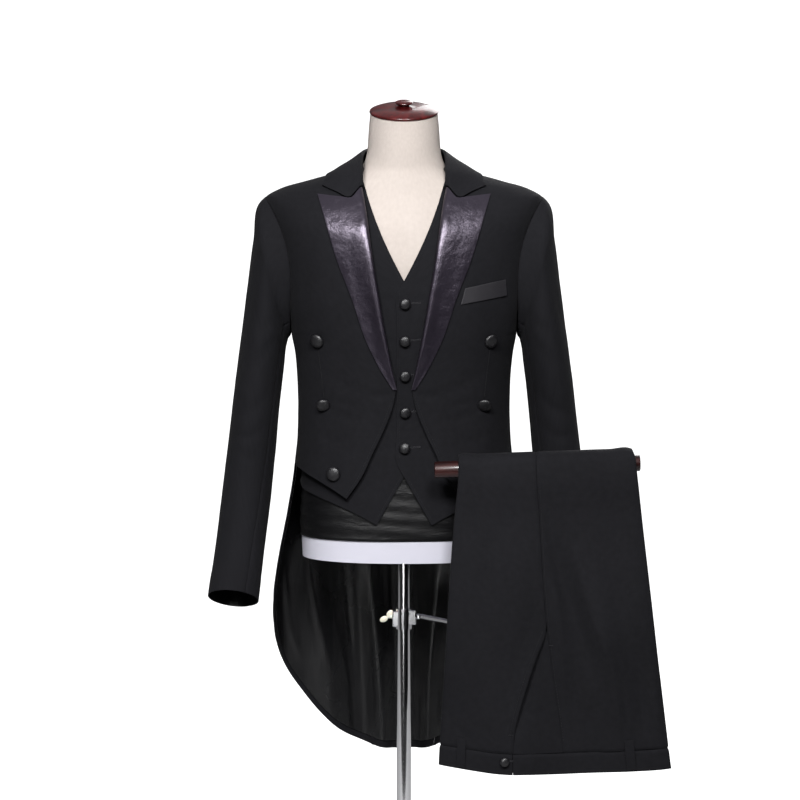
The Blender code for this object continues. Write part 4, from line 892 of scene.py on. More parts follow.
def make_stand():
    rim = 0.003
    boss = BASE_BOSS_RADIUS
    turned("base_plate_turned", [
        (0, 0), (BASE_RADIUS - rim, 0), (BASE_RADIUS - 0.0009, 0.0009), (BASE_RADIUS, rim),
        (BASE_RADIUS, BASE_THICKNESS - rim), (BASE_RADIUS - 0.0009, BASE_THICKNESS - 0.0009),
        (BASE_RADIUS - rim, BASE_THICKNESS), (boss + 0.004, BASE_THICKNESS + 0.0017),
        (boss, BASE_THICKNESS + 0.002), (boss - 0.0015, BASE_THICKNESS + 0.0060),
        (boss - 0.0060, BASE_BOSS_HEIGHT - 0.003), (boss - 0.0080, BASE_BOSS_HEIGHT - 0.0008),
        (boss - 0.0095, BASE_BOSS_HEIGHT), (0, BASE_BOSS_HEIGHT),
    ], 128, [CHROME], "chrome", ["base_plate"])
    foot, top = BASE_BOSS_HEIGHT + GAP, FORM_BOTTOM - GAP
    sides = [(0, foot), (POLE_RADIUS, foot), (POLE_RADIUS, top), (0, top)]
    turned("pole_tube", sides, 64, [CHROME], "chrome", ["pole"])
    soft = 0.0015
    place = Matrix.Translation(BAR_CENTRE) @ Matrix.Rotation(math.radians(90) - math.atan(BAR_SLOPE), 4, "Y")
    turned("trouser_bar_turned", [
        (0, -BAR_LEFT), (BAR_RADIUS - soft, -BAR_LEFT), (BAR_RADIUS - 0.0004, 0.0006 - BAR_LEFT),
        (BAR_RADIUS, soft - BAR_LEFT), (BAR_RADIUS, BAR_RIGHT - soft),
        (BAR_RADIUS - 0.0004, BAR_RIGHT - 0.0006), (BAR_RADIUS - soft, BAR_RIGHT), (0, BAR_RIGHT),
    ], 64, [BAR_WOOD], "mahogany", ["trouser_bar"], place)


def dress_hardware():
    """The clamp and the arm keep their solids' shapes and get their finishes."""
    for name, material in (("arm_clamp", CHROME), ("trouser_arm", CHROME)):
        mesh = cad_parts[name].data
        mesh.materials.clear()
        mesh.materials.append(material)


def make_wing_screw():
    """A hub on the screw's shank, with two rounded wings tipped up to the right and down to the left."""
    hub_length = 0.009
    hub = moved(-0.0193, -0.004, CLAMP_HEIGHT + 0.004) @ tipped(-90, "Y") @ moved(0, 0, hub_length / 2)
    screw = bmesh.new()
    bmesh.ops.create_cone(
        screw, cap_ends=True, segments=32, radius1=0.0044, radius2=0.0036, depth=hub_length, matrix=hub,
    )
    middle = moved(-0.0275, -0.006, CLAMP_HEIGHT + 0.003) @ tipped(-42, "Y")
    for way in (-1, 1):
        wing = middle @ moved(way * 0.0066, 0, 0.0012) @ tipped(way * -16, "Y")
        wing @= Matrix.Diagonal((0.0072, 0.0022, 0.0050, 1))
        bmesh.ops.create_uvsphere(screw, u_segments=32, v_segments=20, radius=1, matrix=wing)
    chart(screw, lambda vert: vert.co.xz)
    name = "wing_screw_moulded"
    made = new_piece(name, finished_mesh(name, screw, 50), [CREAM], "cream_plastic", "wing_screw")
    round_edges(made, 0.0005)


def make_hip_band():
    """The wrap round the hips: a closed tube with long flat folds round it."""
    low, high, rows = 0.8365, 0.950, 24

    def place(turn, row):
        height = mix(low, high, row / rows)
        wave = math.sin(height * 290 + 2.2 * math.sin(math.radians(turn) * 1.5))
        fold = 0.0007 * wave * ease((0.948 - height) / 0.01)
        return form.at(1, abs(turn), height, 0.0022 + fold)

    wrap = tube(72, rows, 0.005, place)
    bmesh.ops.recalc_face_normals(wrap, faces=wrap.faces[:])
    name = "hip_band_cloth"
    made = new_piece(name, finished_mesh(name, wrap), [HIP_CLOTH], "hip_cloth", "hip_band")
    give_wall(made, LINING_CLOTH)


# The tailcoat

def side_name(base, side):
    """The wearer's right is at -X and the left at +X."""
    return base + ("_r" if side < 0 else "_l")


def armhole(turn):
    """(angle, height) of the armhole's edge. Turn 0 is the shoulder, 90 the front, 180 under the arm."""
    turn = math.radians(turn)
    height = ARMHOLE_HEIGHT + ARMHOLE_HALF_HEIGHT * math.cos(turn)
    reach = math.sin(turn)
    depth = -reach * (ARMHOLE_FRONT if reach > 0 else ARMHOLE_BACK)
    if abs(depth) < 1e-6:
        return 90.0, height
    return coat.angle_for(height, depth=depth, back=depth > 0), height


def coat_front_column(height):
    return coat.angle_for(height, reach=smooth(COAT_EDGE, height, 1))


def flute(side, angle, height):
    """How far the tails' flutes stand out there."""
    grown = ease((FLUTE_TOP - height) / (FLUTE_TOP - FLUTE_FULL)) * ease((174 - angle) / 10)
    return grown * sum(
        f.depth * math.exp(-(((angle - f.angle) / f.spread) ** 2)) for f in FLUTES if f.side == side
    )


def vent_lift(side, angle, height):
    if side < 0:
        return 0.0
    lowered = ease((WAIST_SEAM - height) / (WAIST_SEAM - VENT_TOP))
    return VENT_LIFT * lowered * ease((angle - 156) / 14)


def tail(side, angle, height, out=0.0):
    past = angle > 180
    p = coat.point(360 - angle if past else angle, height)
    n = coat.normal(360 - angle if past else angle, height)
    q = p + n * (out + flute(side, min(angle, 360 - angle), height) + vent_lift(side, angle, height))
    return Vector((side * (-q.x if past else q.x), q.y, q.z))


def hem_of_tail(angle):
    height = 0.60
    for _ in range(12):
        reach = coat.point(angle, height).x
        height = mix(height, smooth(TAIL_HEM, max(reach, 0.0), 1), 0.7)
    return height


def rows_above_armpit():
    turns = range(180 - ARMHOLE_STEP, -1, -ARMHOLE_STEP)
    return [armhole(t)[1] for t in turns] + SHOULDER_ROWS


def coat_point(side, across, height):
    """A point of the coat. Across is an angle where it is 60 or more, and else a reach in metres."""
    if across >= 60:
        return coat.at(side, across, height)
    return coat.reached(side, across, height)


def coat_creases(side, rows):
    return creases_at(partial(coat_point, side), rows)


def front_creases(side):
    """Soft troughs from the closing point to the side, over the waist, and by the armhole."""
    uneven = 1.0 if side > 0 else 0.8
    return coat_creases(side, [
        ((0.030, 1.062), (0.085, 1.085), (0.140, 1.118), 0.009, 0.0011 * uneven),
        ((0.045, 1.030), (0.100, 1.040), (0.150, 1.062), 0.008, 0.0009),
        ((0.070, 0.992), (0.115, 1.000), (0.160, 1.020), 0.007, 0.0007 * uneven),
        ((0.120, 1.165), (0.150, 1.150), (0.172, 1.118), 0.010, 0.0012),
        ((0.168, 1.300), (0.160, 1.255), (0.158, 1.200), 0.010, 0.0010 * uneven),
        ((0.128, 0.940), (0.140, 1.000), (0.148, 1.050), 0.012, -0.0008),
        ((0.019, 1.0745), (0.036, 1.0735), (0.056, 1.0715), 0.0055, 0.0018),
        ((0.060, 1.052), (0.098, 1.060), (0.122, 1.056), 0.0060, 0.0010 * uneven),
        ((0.128, 1.215), (0.138, 1.180), (0.140, 1.150), 0.0070, 0.0008),
    ])


FRONT_CUT = Cut(0.230, 0.650, 0.1010, "hung", ["dress_form_skin"])


def make_coat_front(side):
    armpit = armhole(180)[1]
    below, columns = 7, 7
    above = rows_above_armpit()
    steps = 180 // ARMHOLE_STEP

    def place(column, row, face):
        t = column / columns
        if row <= below:
            side_x = coat.point(90, 0.95).x
            reach = mix(COAT_EDGE[0].reach, side_x, t)
            height = mix(smooth(COAT_FRONT_HEM, reach, 1), armpit, row / below)
            last = 90.0
        else:
            height = above[row - below - 1]
            turn = 180 - ARMHOLE_STEP * (row - below)
            last = armhole(turn)[0] if row - below < steps else 90.0
        seam = CLOSED if row <= below or row - below >= steps else 0.0
        angle = mix(coat_front_column(height), last - seam, t)
        return coat.at(side, angle, height, -SUIT_CLOTH * face)

    return cloth(
        side_name("coat_front", side), columns, below + len(above), place, SUIT_CLOTH, [WOOL, TAIL_SATIN],
        "suit_cloth", FRONT_CUT, front_creases(side), sewn=("last", "high"), hems={"low": 0.030},
    )


SIDE_CUT = Cut(0.180, 0.305, 0.0345, "hung", ["dress_form_skin"])


def make_side_body(side):
    columns, rows = 3, len(SIDE_ROWS)

    def place(column, row, face):
        t = column / columns
        up = (SIDE_ROWS[row - 1] - WAIST_SEAM) / (SIDE_ROWS[-1] - WAIST_SEAM) if row else 0.0
        top_angle, top = armhole(180 + ARMHOLE_STEP * column)
        height = mix(WAIST_SEAM, top, up)
        even = mix(90.0, smooth(BACK_SEAM, height, 1), t)
        even_top = mix(90.0, smooth(BACK_SEAM, top, 1), t)
        angle = even + (top_angle - even_top) * up**2
        angle += CLOSED if column == 0 else -CLOSED if column == columns else 0
        return coat.at(side, angle, height, -SUIT_CLOTH * face)

    creases = coat_creases(side, [
        ((92, 1.060), (112, 1.052), (134, 1.066), 0.008, 0.0009),
        ((96, 1.010), (118, 1.004), (140, 1.016), 0.007, 0.0007),
    ])
    cloth(
        side_name("coat_side_body", side), columns, rows, place, SUIT_CLOTH, [WOOL, TAIL_SATIN],
        "suit_cloth", SIDE_CUT, creases, sewn=("first", "last", "low", "high"),
    )


def vent_angle(height):
    lap = ease((VENT_TOP - height) / 0.05) * VENT_ANGLE
    return 180 - 0.08 + lap


def tail_row(angle, row, low=0.0, high=0.0):
    if row < len(TAIL_ROWS):
        return mix(hem_of_tail(angle) + low, VENT_TOP, TAIL_ROWS[row])
    return WAIST_SEAM - high


def tail_seam(row):
    return smooth(BACK_SEAM, tail_row(147, row), 1)


BACK_CUT = Cut(0.270, 1.180, 0.1150, "hung", ["dress_form_skin"])


def make_coat_back(side):
    columns, below = 6, len(TAIL_ROWS)
    turns = range(UNDERARM_BACK + ARMHOLE_STEP, 361, ARMHOLE_STEP)
    above = [armhole(t)[1] for t in turns]
    rows = below + len(SIDE_ROWS) + len(above) + len(SHOULDER_ROWS)

    def place(column, row, face):
        t = column / columns
        if row <= below:
            first = tail_seam(row) + CLOSED
            height = tail_row(mix(first, 180, t), row)
        elif row <= below + len(SIDE_ROWS):
            height = SIDE_ROWS[row - below - 1]
            first = smooth(BACK_SEAM, height, 1) + CLOSED
        elif row < below + len(SIDE_ROWS) + len(above):
            first, height = armhole(turns[row - below - len(SIDE_ROWS) - 1])
        else:
            height = [*above[-1:], *SHOULDER_ROWS][row - below - len(SIDE_ROWS) - len(above)]
            first = 90 + CLOSED
        angle = mix(first, vent_angle(height), t)
        return tail(side, angle, height, -SUIT_CLOTH * face)

    creases = coat_creases(side, [
        ((168, 1.070), (158, 1.085), (146, 1.112), 0.010, 0.0011),
        ((170, 1.030), (160, 1.036), (150, 1.052), 0.008, 0.0008),
        ((116, 1.300), (124, 1.255), (122, 1.200), 0.012, 0.0013),
        ((162, 1.385), (140, 1.378), (120, 1.362), 0.010, 0.0007),
        ((160, 0.900), (163, 0.780), (158, 0.640), 0.010, -0.0010),
        ((170, 0.880), (168, 0.740), (171, 0.600), 0.007, 0.0009),
    ])
    cloth(
        side_name("coat_back", side), columns, rows, place, SUIT_CLOTH, [WOOL],
        "suit_cloth", BACK_CUT, creases, sewn=("first", "last", "high"), hems={"low": 0.022},
    )


SKIRT_CUT = Cut(0.345, 0.510, 0.0850, "hung", ["coat_side_body_l_cloth", "coat_side_body_r_cloth"])


# Long uneven folds down the tails, between the large flutes, as places, half width and depth
TAIL_FOLDS = [
    ((108, 0.890), (111, 0.790), (109, 0.690), 0.006, 0.00117),
    ((126, 0.880), (130, 0.740), (127, 0.600), 0.007, 0.00090),
    ((96, 0.860), (98, 0.790), (97, 0.720), 0.006, 0.00072),
    ((143, 0.860), (146, 0.700), (142, 0.530), 0.008, 0.00108),
    ((116, 0.780), (119, 0.690), (117, 0.610), 0.005, -0.00081),
]


def make_skirt(side):
    columns, rows = SKIRT_COLUMNS, len(TAIL_ROWS)

    def place(column, row, face):
        angle = mix(90.0, tail_seam(row) - CLOSED, column / columns)
        return tail(side, angle, tail_row(angle, row, 0, 0.0001), -SUIT_CLOTH * face)

    cloth(
        side_name("coat_skirt", side), columns, rows, place, SUIT_CLOTH, [WOOL], "suit_cloth", SKIRT_CUT,
        creases_at(partial(tail, side), TAIL_FOLDS),
        sewn=("last", "high"), hems={"low": 0.022, "first": 0.018},
    )


# The lining is looser than the tail that it lines, so it hangs in longer and deeper folds
LINING_FOLDS = [
    ((100, 0.800), (104, 0.690), (108, 0.600), 0.006, 0.0022),
    ((113, 0.860), (117, 0.720), (121, 0.560), 0.007, 0.0030),
    ((124, 0.780), (125, 0.660), (129, 0.550), 0.005, 0.0018),
    ((136, 0.870), (139, 0.700), (135, 0.520), 0.008, 0.0032),
    ((150, 0.820), (152, 0.660), (155, 0.500), 0.006, 0.0024),
    ((163, 0.860), (165, 0.700), (162, 0.520), 0.005, 0.0018),
]
LINING_CUT = Cut(0.390, 0.500, 0.1045, "hung", ["coat_skirt_l_cloth", "coat_skirt_r_cloth"])


def make_tail_lining(side):
    back_columns, rows = 5, len(TAIL_ROWS)

    def place(column, row, face):
        seam = tail_seam(row)
        if column <= SKIRT_COLUMNS:
            angle = mix(90.0, seam, max(column, 0.15) / SKIRT_COLUMNS)
        else:
            angle = mix(seam, 180, (column - SKIRT_COLUMNS) / 6)
        height = tail_row(angle, row, 0.014, 0.004)
        return tail(side, angle, height, -SUIT_CLOTH - 0.0013 - LINING_CLOTH * face)

    cloth(
        side_name("tail_lining", side), SKIRT_COLUMNS + back_columns, rows, place, LINING_CLOTH, [TAIL_SATIN],
        "lining", LINING_CUT, creases_at(partial(tail, side), TAIL_FOLDS + LINING_FOLDS), soft=0.0003,
    )


def sleeve_ring(step):
    table = [(i, *r) for i, r in enumerate(SLEEVE)]
    return Ring(*(smooth(table, step, c) for c in range(1, 8)))


def sleeve_point(step, turn):
    """A point round the sleeve. Turn 0 is its outer side, 90 the front, 180 the side to the body."""
    if step < 0:
        angle, height = armhole(turn)
        seam = coat.at(1, angle, height)
        after = sleeve_point(0, turn)
        return seam + (after - seam) * (1 + step)
    ring = sleeve_ring(step)
    under = Vector((ring.under_x, 0, ring.under_z))
    outer = Vector((ring.outer_x, 0, ring.outer_z))
    tilt = math.radians(ring.tilt)
    front = Vector((0, -math.cos(tilt), math.sin(tilt))) * ring.half_depth
    turn = math.radians(turn)
    return (
        (under + outer) / 2 + Vector((0, ring.middle_y, 0))
        + (outer - under) / 2 * math.cos(turn) + front * math.sin(turn)
    )


def sleeve_at(side, step, turn, out=0.0):
    high, low = min(step + 0.05, len(SLEEVE) - 1.0), step - 0.05
    down = sleeve_point(high, turn) - sleeve_point(low, turn)
    round_it = sleeve_point(step, turn + 2) - sleeve_point(step, turn - 2)
    p = sleeve_point(step, turn) + round_it.cross(down).normalized() * out
    return Vector((side * p.x, p.y, p.z))


def front_seam_turn(step):
    return mix(UNDERARM_FRONT, CUFF_FRONT_SEAM, ease((step - 6) / 8.0))


def sleeve_creases(side):
    """Drag lines below the shoulder, the bends of the elbow, and a long fold down the forearm."""
    uneven = 1.0 if side > 0 else 0.75
    return creases_at(partial(sleeve_at, side), [
        ((0.6, 62), (2.6, 50), (4.8, 28), 0.011, 0.0013),
        ((2.2, 118), (3.6, 96), (4.6, 74), 0.010, 0.0016 * uneven),
        ((3.6, 128), (5.2, 104), (6.4, 70), 0.009, 0.0015),
        ((7.1, 128), (7.7, 92), (7.9, 48), 0.010, 0.0020 * uneven),
        ((8.2, 122), (8.6, 84), (8.5, 40), 0.008, 0.0017),
        ((9.2, 118), (9.3, 86), (9.0, 60), 0.009, 0.0012 * uneven),
        ((7.4, 88), (7.0, 40), (6.6, 6), 0.012, -0.0012),
        ((9.6, 64), (11.4, 56), (13.2, 60), 0.010, 0.0009),
        ((7.6, -74), (8.1, -40), (7.8, -8), 0.010, 0.0014),
        ((8.9, -70), (9.2, -44), (8.9, -12), 0.008, 0.0011 * uneven),
        ((1.4, -70), (3.4, -52), (5.2, -30), 0.012, 0.0013),
    ])


SLEEVE_CUTS = {
    "top": Cut(0.470, 0.675, 0.1437, "hung", ["dress_form_skin"]),
    "under": Cut(0.125, 0.520, 0.0445, "hung", ["dress_form_skin"]),
}


def make_sleeve(side, part):
    steps = [-1.1, -0.35, 0, 1.5, 3, 4.5, 6, 7.5, 9, 10.5, 12, len(SLEEVE) - 1.0]
    if part == "top":
        columns = (UNDERARM_FRONT + 360 - UNDERARM_BACK) // ARMHOLE_STEP
    else:
        columns = (UNDERARM_BACK - UNDERARM_FRONT) // ARMHOLE_STEP
    seam = 0.08

    def place(column, row, face):
        step = steps[row]
        front = front_seam_turn(step)
        if part == "top":
            turn = mix(UNDERARM_BACK - 360 + seam, front - seam, column / columns)
        else:
            turn = mix(front + seam, UNDERARM_BACK - seam, column / columns)
        return sleeve_at(side, step, turn, -SUIT_CLOTH * face)

    cloth(
        side_name(part + "_sleeve", side), columns, len(steps) - 1, place, SUIT_CLOTH, [WOOL, TAIL_SATIN],
        "suit_cloth", SLEEVE_CUTS[part], sleeve_creases(side),
        sewn=("first", "last", "low"), hems={"high": 0.038},
    )


Across = namedtuple("Across", "share rise top")
LAPEL = [
    Across(0.000, 0.0030, 1.4042), Across(0.035, 0.0060, 1.4024), Across(0.130, 0.0072, 1.3955),
    Across(0.270, 0.0062, 1.3868), Across(0.500, 0.0045, 1.3888), Across(0.750, 0.0036, 1.3912),
    Across(1.000, 0.0034, 1.3936),
]
LAPEL_CUT = Cut(0.086, 0.350, 0.0159, "folded", ["coat_front_l_cloth", "coat_front_r_cloth"])


def make_lapel(side):
    rows = 11
    low = COAT_EDGE[5].height + 0.0065

    def place(column, row, face):
        t, rise, top = LAPEL[column]
        height = mix(low, top, row / rows)
        roll = smooth(COAT_EDGE, height, 1)
        outer = max(smooth(LAPEL_EDGE, height, 1), roll + 0.006)
        rise = mix(LAPEL[0].rise, rise, ease(row / 2))
        return coat.reached(side, mix(roll, outer, t), height, rise - VEST_CLOTH * face)

    creases = coat_creases(side, [
        ((0.130, 1.384), (0.112, 1.376), (0.092, 1.378), 0.0040, 0.0006),
        ((0.124, 1.366), (0.104, 1.356), (0.084, 1.360), 0.0050, 0.0007),
        ((0.076, 1.386), (0.072, 1.352), (0.066, 1.310), 0.0060, 0.0006),
        ((0.106, 1.320), (0.092, 1.276), (0.076, 1.220), 0.0080, -0.0006),
        ((0.058, 1.250), (0.052, 1.200), (0.044, 1.150), 0.0050, 0.0006),
    ])
    cloth(
        side_name("lapel", side), len(LAPEL) - 1, rows, place, VEST_CLOTH, [SATIN],
        "satin", LAPEL_CUT, creases, soft=0.0003,
    )


NotchPoint = namedtuple("NotchPoint", "reach height out")
NOTCH = [NotchPoint(*row) for row in (
    (0.0628, 1.4055, -0.0008), (0.0640, 1.4062, 0.0016), (0.0655, 1.4068, 0.0045),
    (0.0690, 1.4042, 0.0070), (0.0762, 1.3970, 0.0070), (0.0860, 1.3880, 0.0060),
    (0.1080, 1.3968, 0.0050), (0.1310, 1.4060, 0.0046),
)]
Station = namedtuple("Station", "seam_angle seam_height roll_x roll_y roll_z edge_angle edge_height")
COLLAR = [
    Station(42.5, 1.4205, 0.0662, -0.0785, 1.4235, 66.0, 1.4140),
    Station(54.0, 1.4366, 0.0668, -0.0560, 1.4395, 72.0, 1.4215),
    Station(90.0, 1.4369, 0.0665, -0.0080, 1.4595, 91.0, 1.4288),
    Station(125.0, 1.4369, 0.0555, 0.0430, 1.4680, 122.0, 1.4245),
    Station(153.0, 1.4369, 0.0305, 0.0655, 1.4720, 151.0, 1.4205),
    Station(180.0, 1.4369, 0.0000, 0.0715, 1.4735, 180.0, 1.4190),
]


def collar_profile(station):
    """Points across the collar at a station: the stand, the roll and the fall."""
    seam = coat.at(1, station.seam_angle, station.seam_height, -0.0006)
    roll = Vector((station.roll_x, station.roll_y, station.roll_z))
    edge = coat.at(1, station.edge_angle, station.edge_height, 0.0041)
    away = Vector((roll.x, roll.y, 0)).normalized()
    after = roll + away * 0.0065
    swell = Vector((0, 0, 0.0015))
    return [
        seam, mix(seam, roll, 0.55), roll - away * 0.0008, roll + away * 0.0024 + Vector((0, 0, 0.0022)),
        after, mix(after, edge, 0.33) + swell, mix(after, edge, 0.67) + swell, edge,
    ]


COLLAR_CUT = Cut(0.100, 0.515, 0.0421, "folded", ["coat_back_l_cloth", "coat_back_r_cloth"])


def make_collar():
    notch = [coat.reached(1, *n) for n in NOTCH]
    profiles = [notch, *(collar_profile(s) for s in COLLAR)]
    half, across = len(profiles) - 1, len(notch) - 1

    def surface(column, along):
        """along runs from 0 at the wearer's right notch to 1 at the left one."""
        place = abs(along * 2 - 1) * half
        table = [(i, *profiles[half - i][column]) for i in range(half + 1)]
        p = Vector([smooth(table, place, c) for c in (1, 2, 3)])
        return Vector((-p.x if along < 0.5 else p.x, p.y, p.z))

    rows = 3 * half

    def place(column, row, face):
        along = row / rows
        p = surface(column, along)
        before, after = surface(max(column - 1, 0), along), surface(min(column + 1, across), along)
        step = 0.02
        back, on = surface(column, max(along - step, 0)), surface(column, min(along + step, 1))
        normal = (on - back).cross(after - before).normalized()
        return p - normal * (SUIT_CLOTH * face)

    cloth("collar", across, rows, place, SUIT_CLOTH, [WOOL], "suit_cloth", COLLAR_CUT, soft=0.0002)


WELT_CUT = Cut(0.086, 0.027, None, "laid", ["coat_front_l_cloth"])


def make_breast_welt():
    columns, rows = 4, 1

    def place(column, row, face):
        t = column / columns
        low = mix(WELT["low_left"], WELT["low_right"], t)
        height = low + WELT["width"] * row
        reach = mix(WELT["left"] + 0.007 * row, WELT["right"] - 0.002 * row, t)
        return coat.reached(1, reach, height, 0.0009 + WELT["thickness"] * (1 - face))

    cloth(
        "breast_welt", columns, rows, place, WELT["thickness"], [WELT_CLOTH_PAINTED_SHEEN], "suit_cloth", WELT_CUT,
        soft=0.0001,
    )


# The waistcoat

def vest_out(height):
    return mix(VEST_LOOSE, VEST_SNUG, ease((height - 1.33) / 0.06))


def vest_lap(side, reach):
    return VEST_LAP * (1 - ease((abs(reach) - 0.018) / 0.05)) if side > 0 else 0.0


VEST_SHOULDER = [1.365, 1.383, 1.394, 1.406, 1.412, 1.418, 1.423, 1.429]
VEST_CUT = Cut(0.245, 0.640, 0.1000, "hung", ["dress_form_skin"])
VEST_BACK_CUT = Cut(0.460, 0.640, 0.1966, "hung", ["dress_form_skin"])


def vest_point(side, reach, height, out=0.001):
    """A point so far out from a waistcoat front."""
    return form.reached(side, reach, height, vest_out(height) + out)


def vest_creases(side):
    """Small pulls at the buttons, a fold at the waist and one down to the point."""
    lifts = (0.006, -0.004, 0.003, 0.006, -0.003)
    pulls = [
        ((0.012, b.height + 0.004), (0.030, b.height + lift), (0.052, b.height + 2 * lift), 0.0050, 0.0006)
        for b, lift in zip(VEST_BUTTONS, lifts)
    ]
    folds = [
        ((0.020, 1.028), (0.060, 1.018), (0.110, 1.030), 0.0080, 0.0009),
        ((0.030, 0.960), (0.050, 0.925), (0.055, 0.890), 0.0090, -0.0007),
    ]
    return creases_at(partial(vest_point, side), pulls + folds)


def vest_side(height, way):
    """The angle of a piece's outer edge, its side seam and its armhole. way is -1 in front and 1 behind."""
    if height < VEST_ARMHOLE[0].height:
        return 90 + way * 0.1
    wide = smooth(VEST_ARMHOLE, height, 1)
    if wide >= form.ring(height).half_width * 0.995:
        return 90 + way * 0.12
    return form.angle_for(height, reach=wide, back=way > 0)


def make_vest_front(side):
    columns, below = 6, 4
    heights = [1.01, 1.045, 1.09, 1.15, 1.175, 1.20, 1.233, 1.2567, 1.29, 1.33, *VEST_SHOULDER]

    def place(column, row, face):
        t = column / columns
        if row <= below:
            hem = smooth(VEST_HEM, mix(VEST_HEM[0].reach, VEST_HEM[-1].reach, t), 1)
            height = mix(hem, VEST_FULL_LAP, row / below)
        else:
            height = heights[row - below - 1]
        start = smooth(VEST_EDGE, height, 1)
        first = math.copysign(form.angle_for(height, reach=abs(start)), start) if abs(start) > 1e-5 else 0.0
        angle = mix(first, vest_side(height, -1), t)
        reach = form.point(abs(angle), height).x
        out = vest_out(height) + vest_lap(side, reach) - VEST_CLOTH * face
        p = form.at(1, abs(angle), height, out)
        return Vector((side * math.copysign(p.x, angle), p.y, p.z))

    return cloth(
        side_name("vest_front", side), columns, below + len(heights), place, VEST_CLOTH, [WOOL, TAIL_SATIN],
        "suit_cloth", VEST_CUT, vest_creases(side), soft=0.0003,
    )


def make_vest_back():
    half, heights = 6, [0.9200, 0.985, 1.07, 1.15, 1.175, 1.22, 1.28, 1.33, *VEST_SHOULDER]

    def place(column, row, face):
        height = heights[row]
        side = -1 if column < half else 1
        t = 1 - abs(column - half) / half
        return form.at(side, mix(vest_side(height, 1), 180, t), height, vest_out(height) - VEST_CLOTH * face)

    cloth(
        "vest_back", 2 * half, len(heights) - 1, place, VEST_CLOTH, [TAIL_SATIN], "lining", VEST_BACK_CUT,
        soft=0.0003,
    )


# The trousers

def leg_edges(height, outline=TROUSER_FRONT):
    return smooth(outline, height, 1), smooth(outline, height, 2)


def leg_share(x, height):
    """How far across the folded leg x is, from its front crease, 0, to its back crease, 1."""
    left, right = leg_edges(height)
    return (x - left) / (right - left)


def trouser_fold(x, height, across):
    """How far the outer layer stands out in its valley and swells, which fade towards both creases."""
    hang = ease((0.93 - height) / 0.25)
    middle = smooth(SIDE_SEAM, height, 1)
    valley = math.exp(-(((x - middle - 0.030) / 0.020) ** 2))
    swell = math.exp(-(((x - middle - 0.085) / 0.045) ** 2))
    front = math.exp(-(((x - middle + 0.075) / 0.040) ** 2))
    fade = min(1, across * 12, (1 - across) * 12)
    return hang * fade * (0.0048 - 0.0046 * valley + 0.0050 * swell + 0.0035 * front)


def trouser_at(across, along, deep):
    """A point of the folded trousers.

    across runs from the front crease, 0, to the back crease, 1. along runs from the waist edge, 0,
    up to the bar, 1, over it, 2, and down to the hem, 3. deep is the distance from the bar's surface.
    """
    radius = BAR_RADIUS + deep
    top = leg_edges(BAR_LEVEL)
    if along <= 1 or along >= 2:
        outline = TROUSER_FRONT if along <= 1 else TROUSER_BACK
        guess = mix(*top, across)
        bar_height = BAR_CENTRE.z + (guess - BAR_CENTRE.x) * BAR_SLOPE
        if along <= 1:
            low = smooth(WAIST_EDGE, mix(WAIST_EDGE[0].reach, WAIST_EDGE[-1].reach, across), 1)
            height = mix(low, bar_height, along)
        else:
            height = mix(bar_height, TROUSER_HEM, along - 2)
        level = height - (bar_height - BAR_LEVEL) * ease((height - 0.48) / 0.5)
        x = mix(*leg_edges(level, outline), across)
        y = BAR_CENTRE.y - radius if along <= 1 else BAR_CENTRE.y + radius
        if along <= 1:
            outer = min(max((deep - NEAR_LEG_IN - TROUSER_CLOTH) / 0.0004, 0), 1)
            y -= outer * trouser_fold(x, height, across)
        return Vector((x, y, height))
    turn = math.pi * (along - 1)
    x = mix(*top, across) - TOP_CORNER * math.sin(turn) ** 2 * ease((across - 0.85) / 0.15)
    bar_height = BAR_CENTRE.z + (x - BAR_CENTRE.x) * BAR_SLOPE
    return Vector((x, BAR_CENTRE.y - radius * math.cos(turn), bar_height + radius * math.sin(turn)))


def seam_across(along):
    if along >= 1:
        return mix(0.4375, 0.47, ease(along - 1.5))
    height = trouser_at(0.45, along, 0).z
    return leg_share(smooth(SIDE_SEAM, height, 1), height)


def pocket_across(along):
    height = trouser_at(0.35, along, 0).z
    seam = seam_across(along)
    if height >= POCKET[-1].height:
        return seam
    return min(seam, leg_share(smooth(POCKET, height, 1), height))


BAND_ALONG = WAISTBAND / TROUSER_DROP
LEG_ROWS = [BAND_ALONG, 0.14, 0.22, 0.30, 0.385, 0.468, 0.56, 0.68, 0.84, 1.0,
            1.167, 1.333, 1.5, 1.667, 1.833, 2.0, 2.2, 2.5, 3.0]
FOLD_MIDDLE = (NEAR_LEG_IN + NEAR_LEG_OUT) / 2
FOLD_RADIUS = (NEAR_LEG_OUT - NEAR_LEG_IN) / 2


def leg_point(x, height, out=0.0):
    """A point of the hanging front half's outer face."""
    y = BAR_CENTRE.y - BAR_RADIUS - NEAR_LEG_OUT - trouser_fold(x, height, leg_share(x, height))
    return Vector((x, y - out, height))


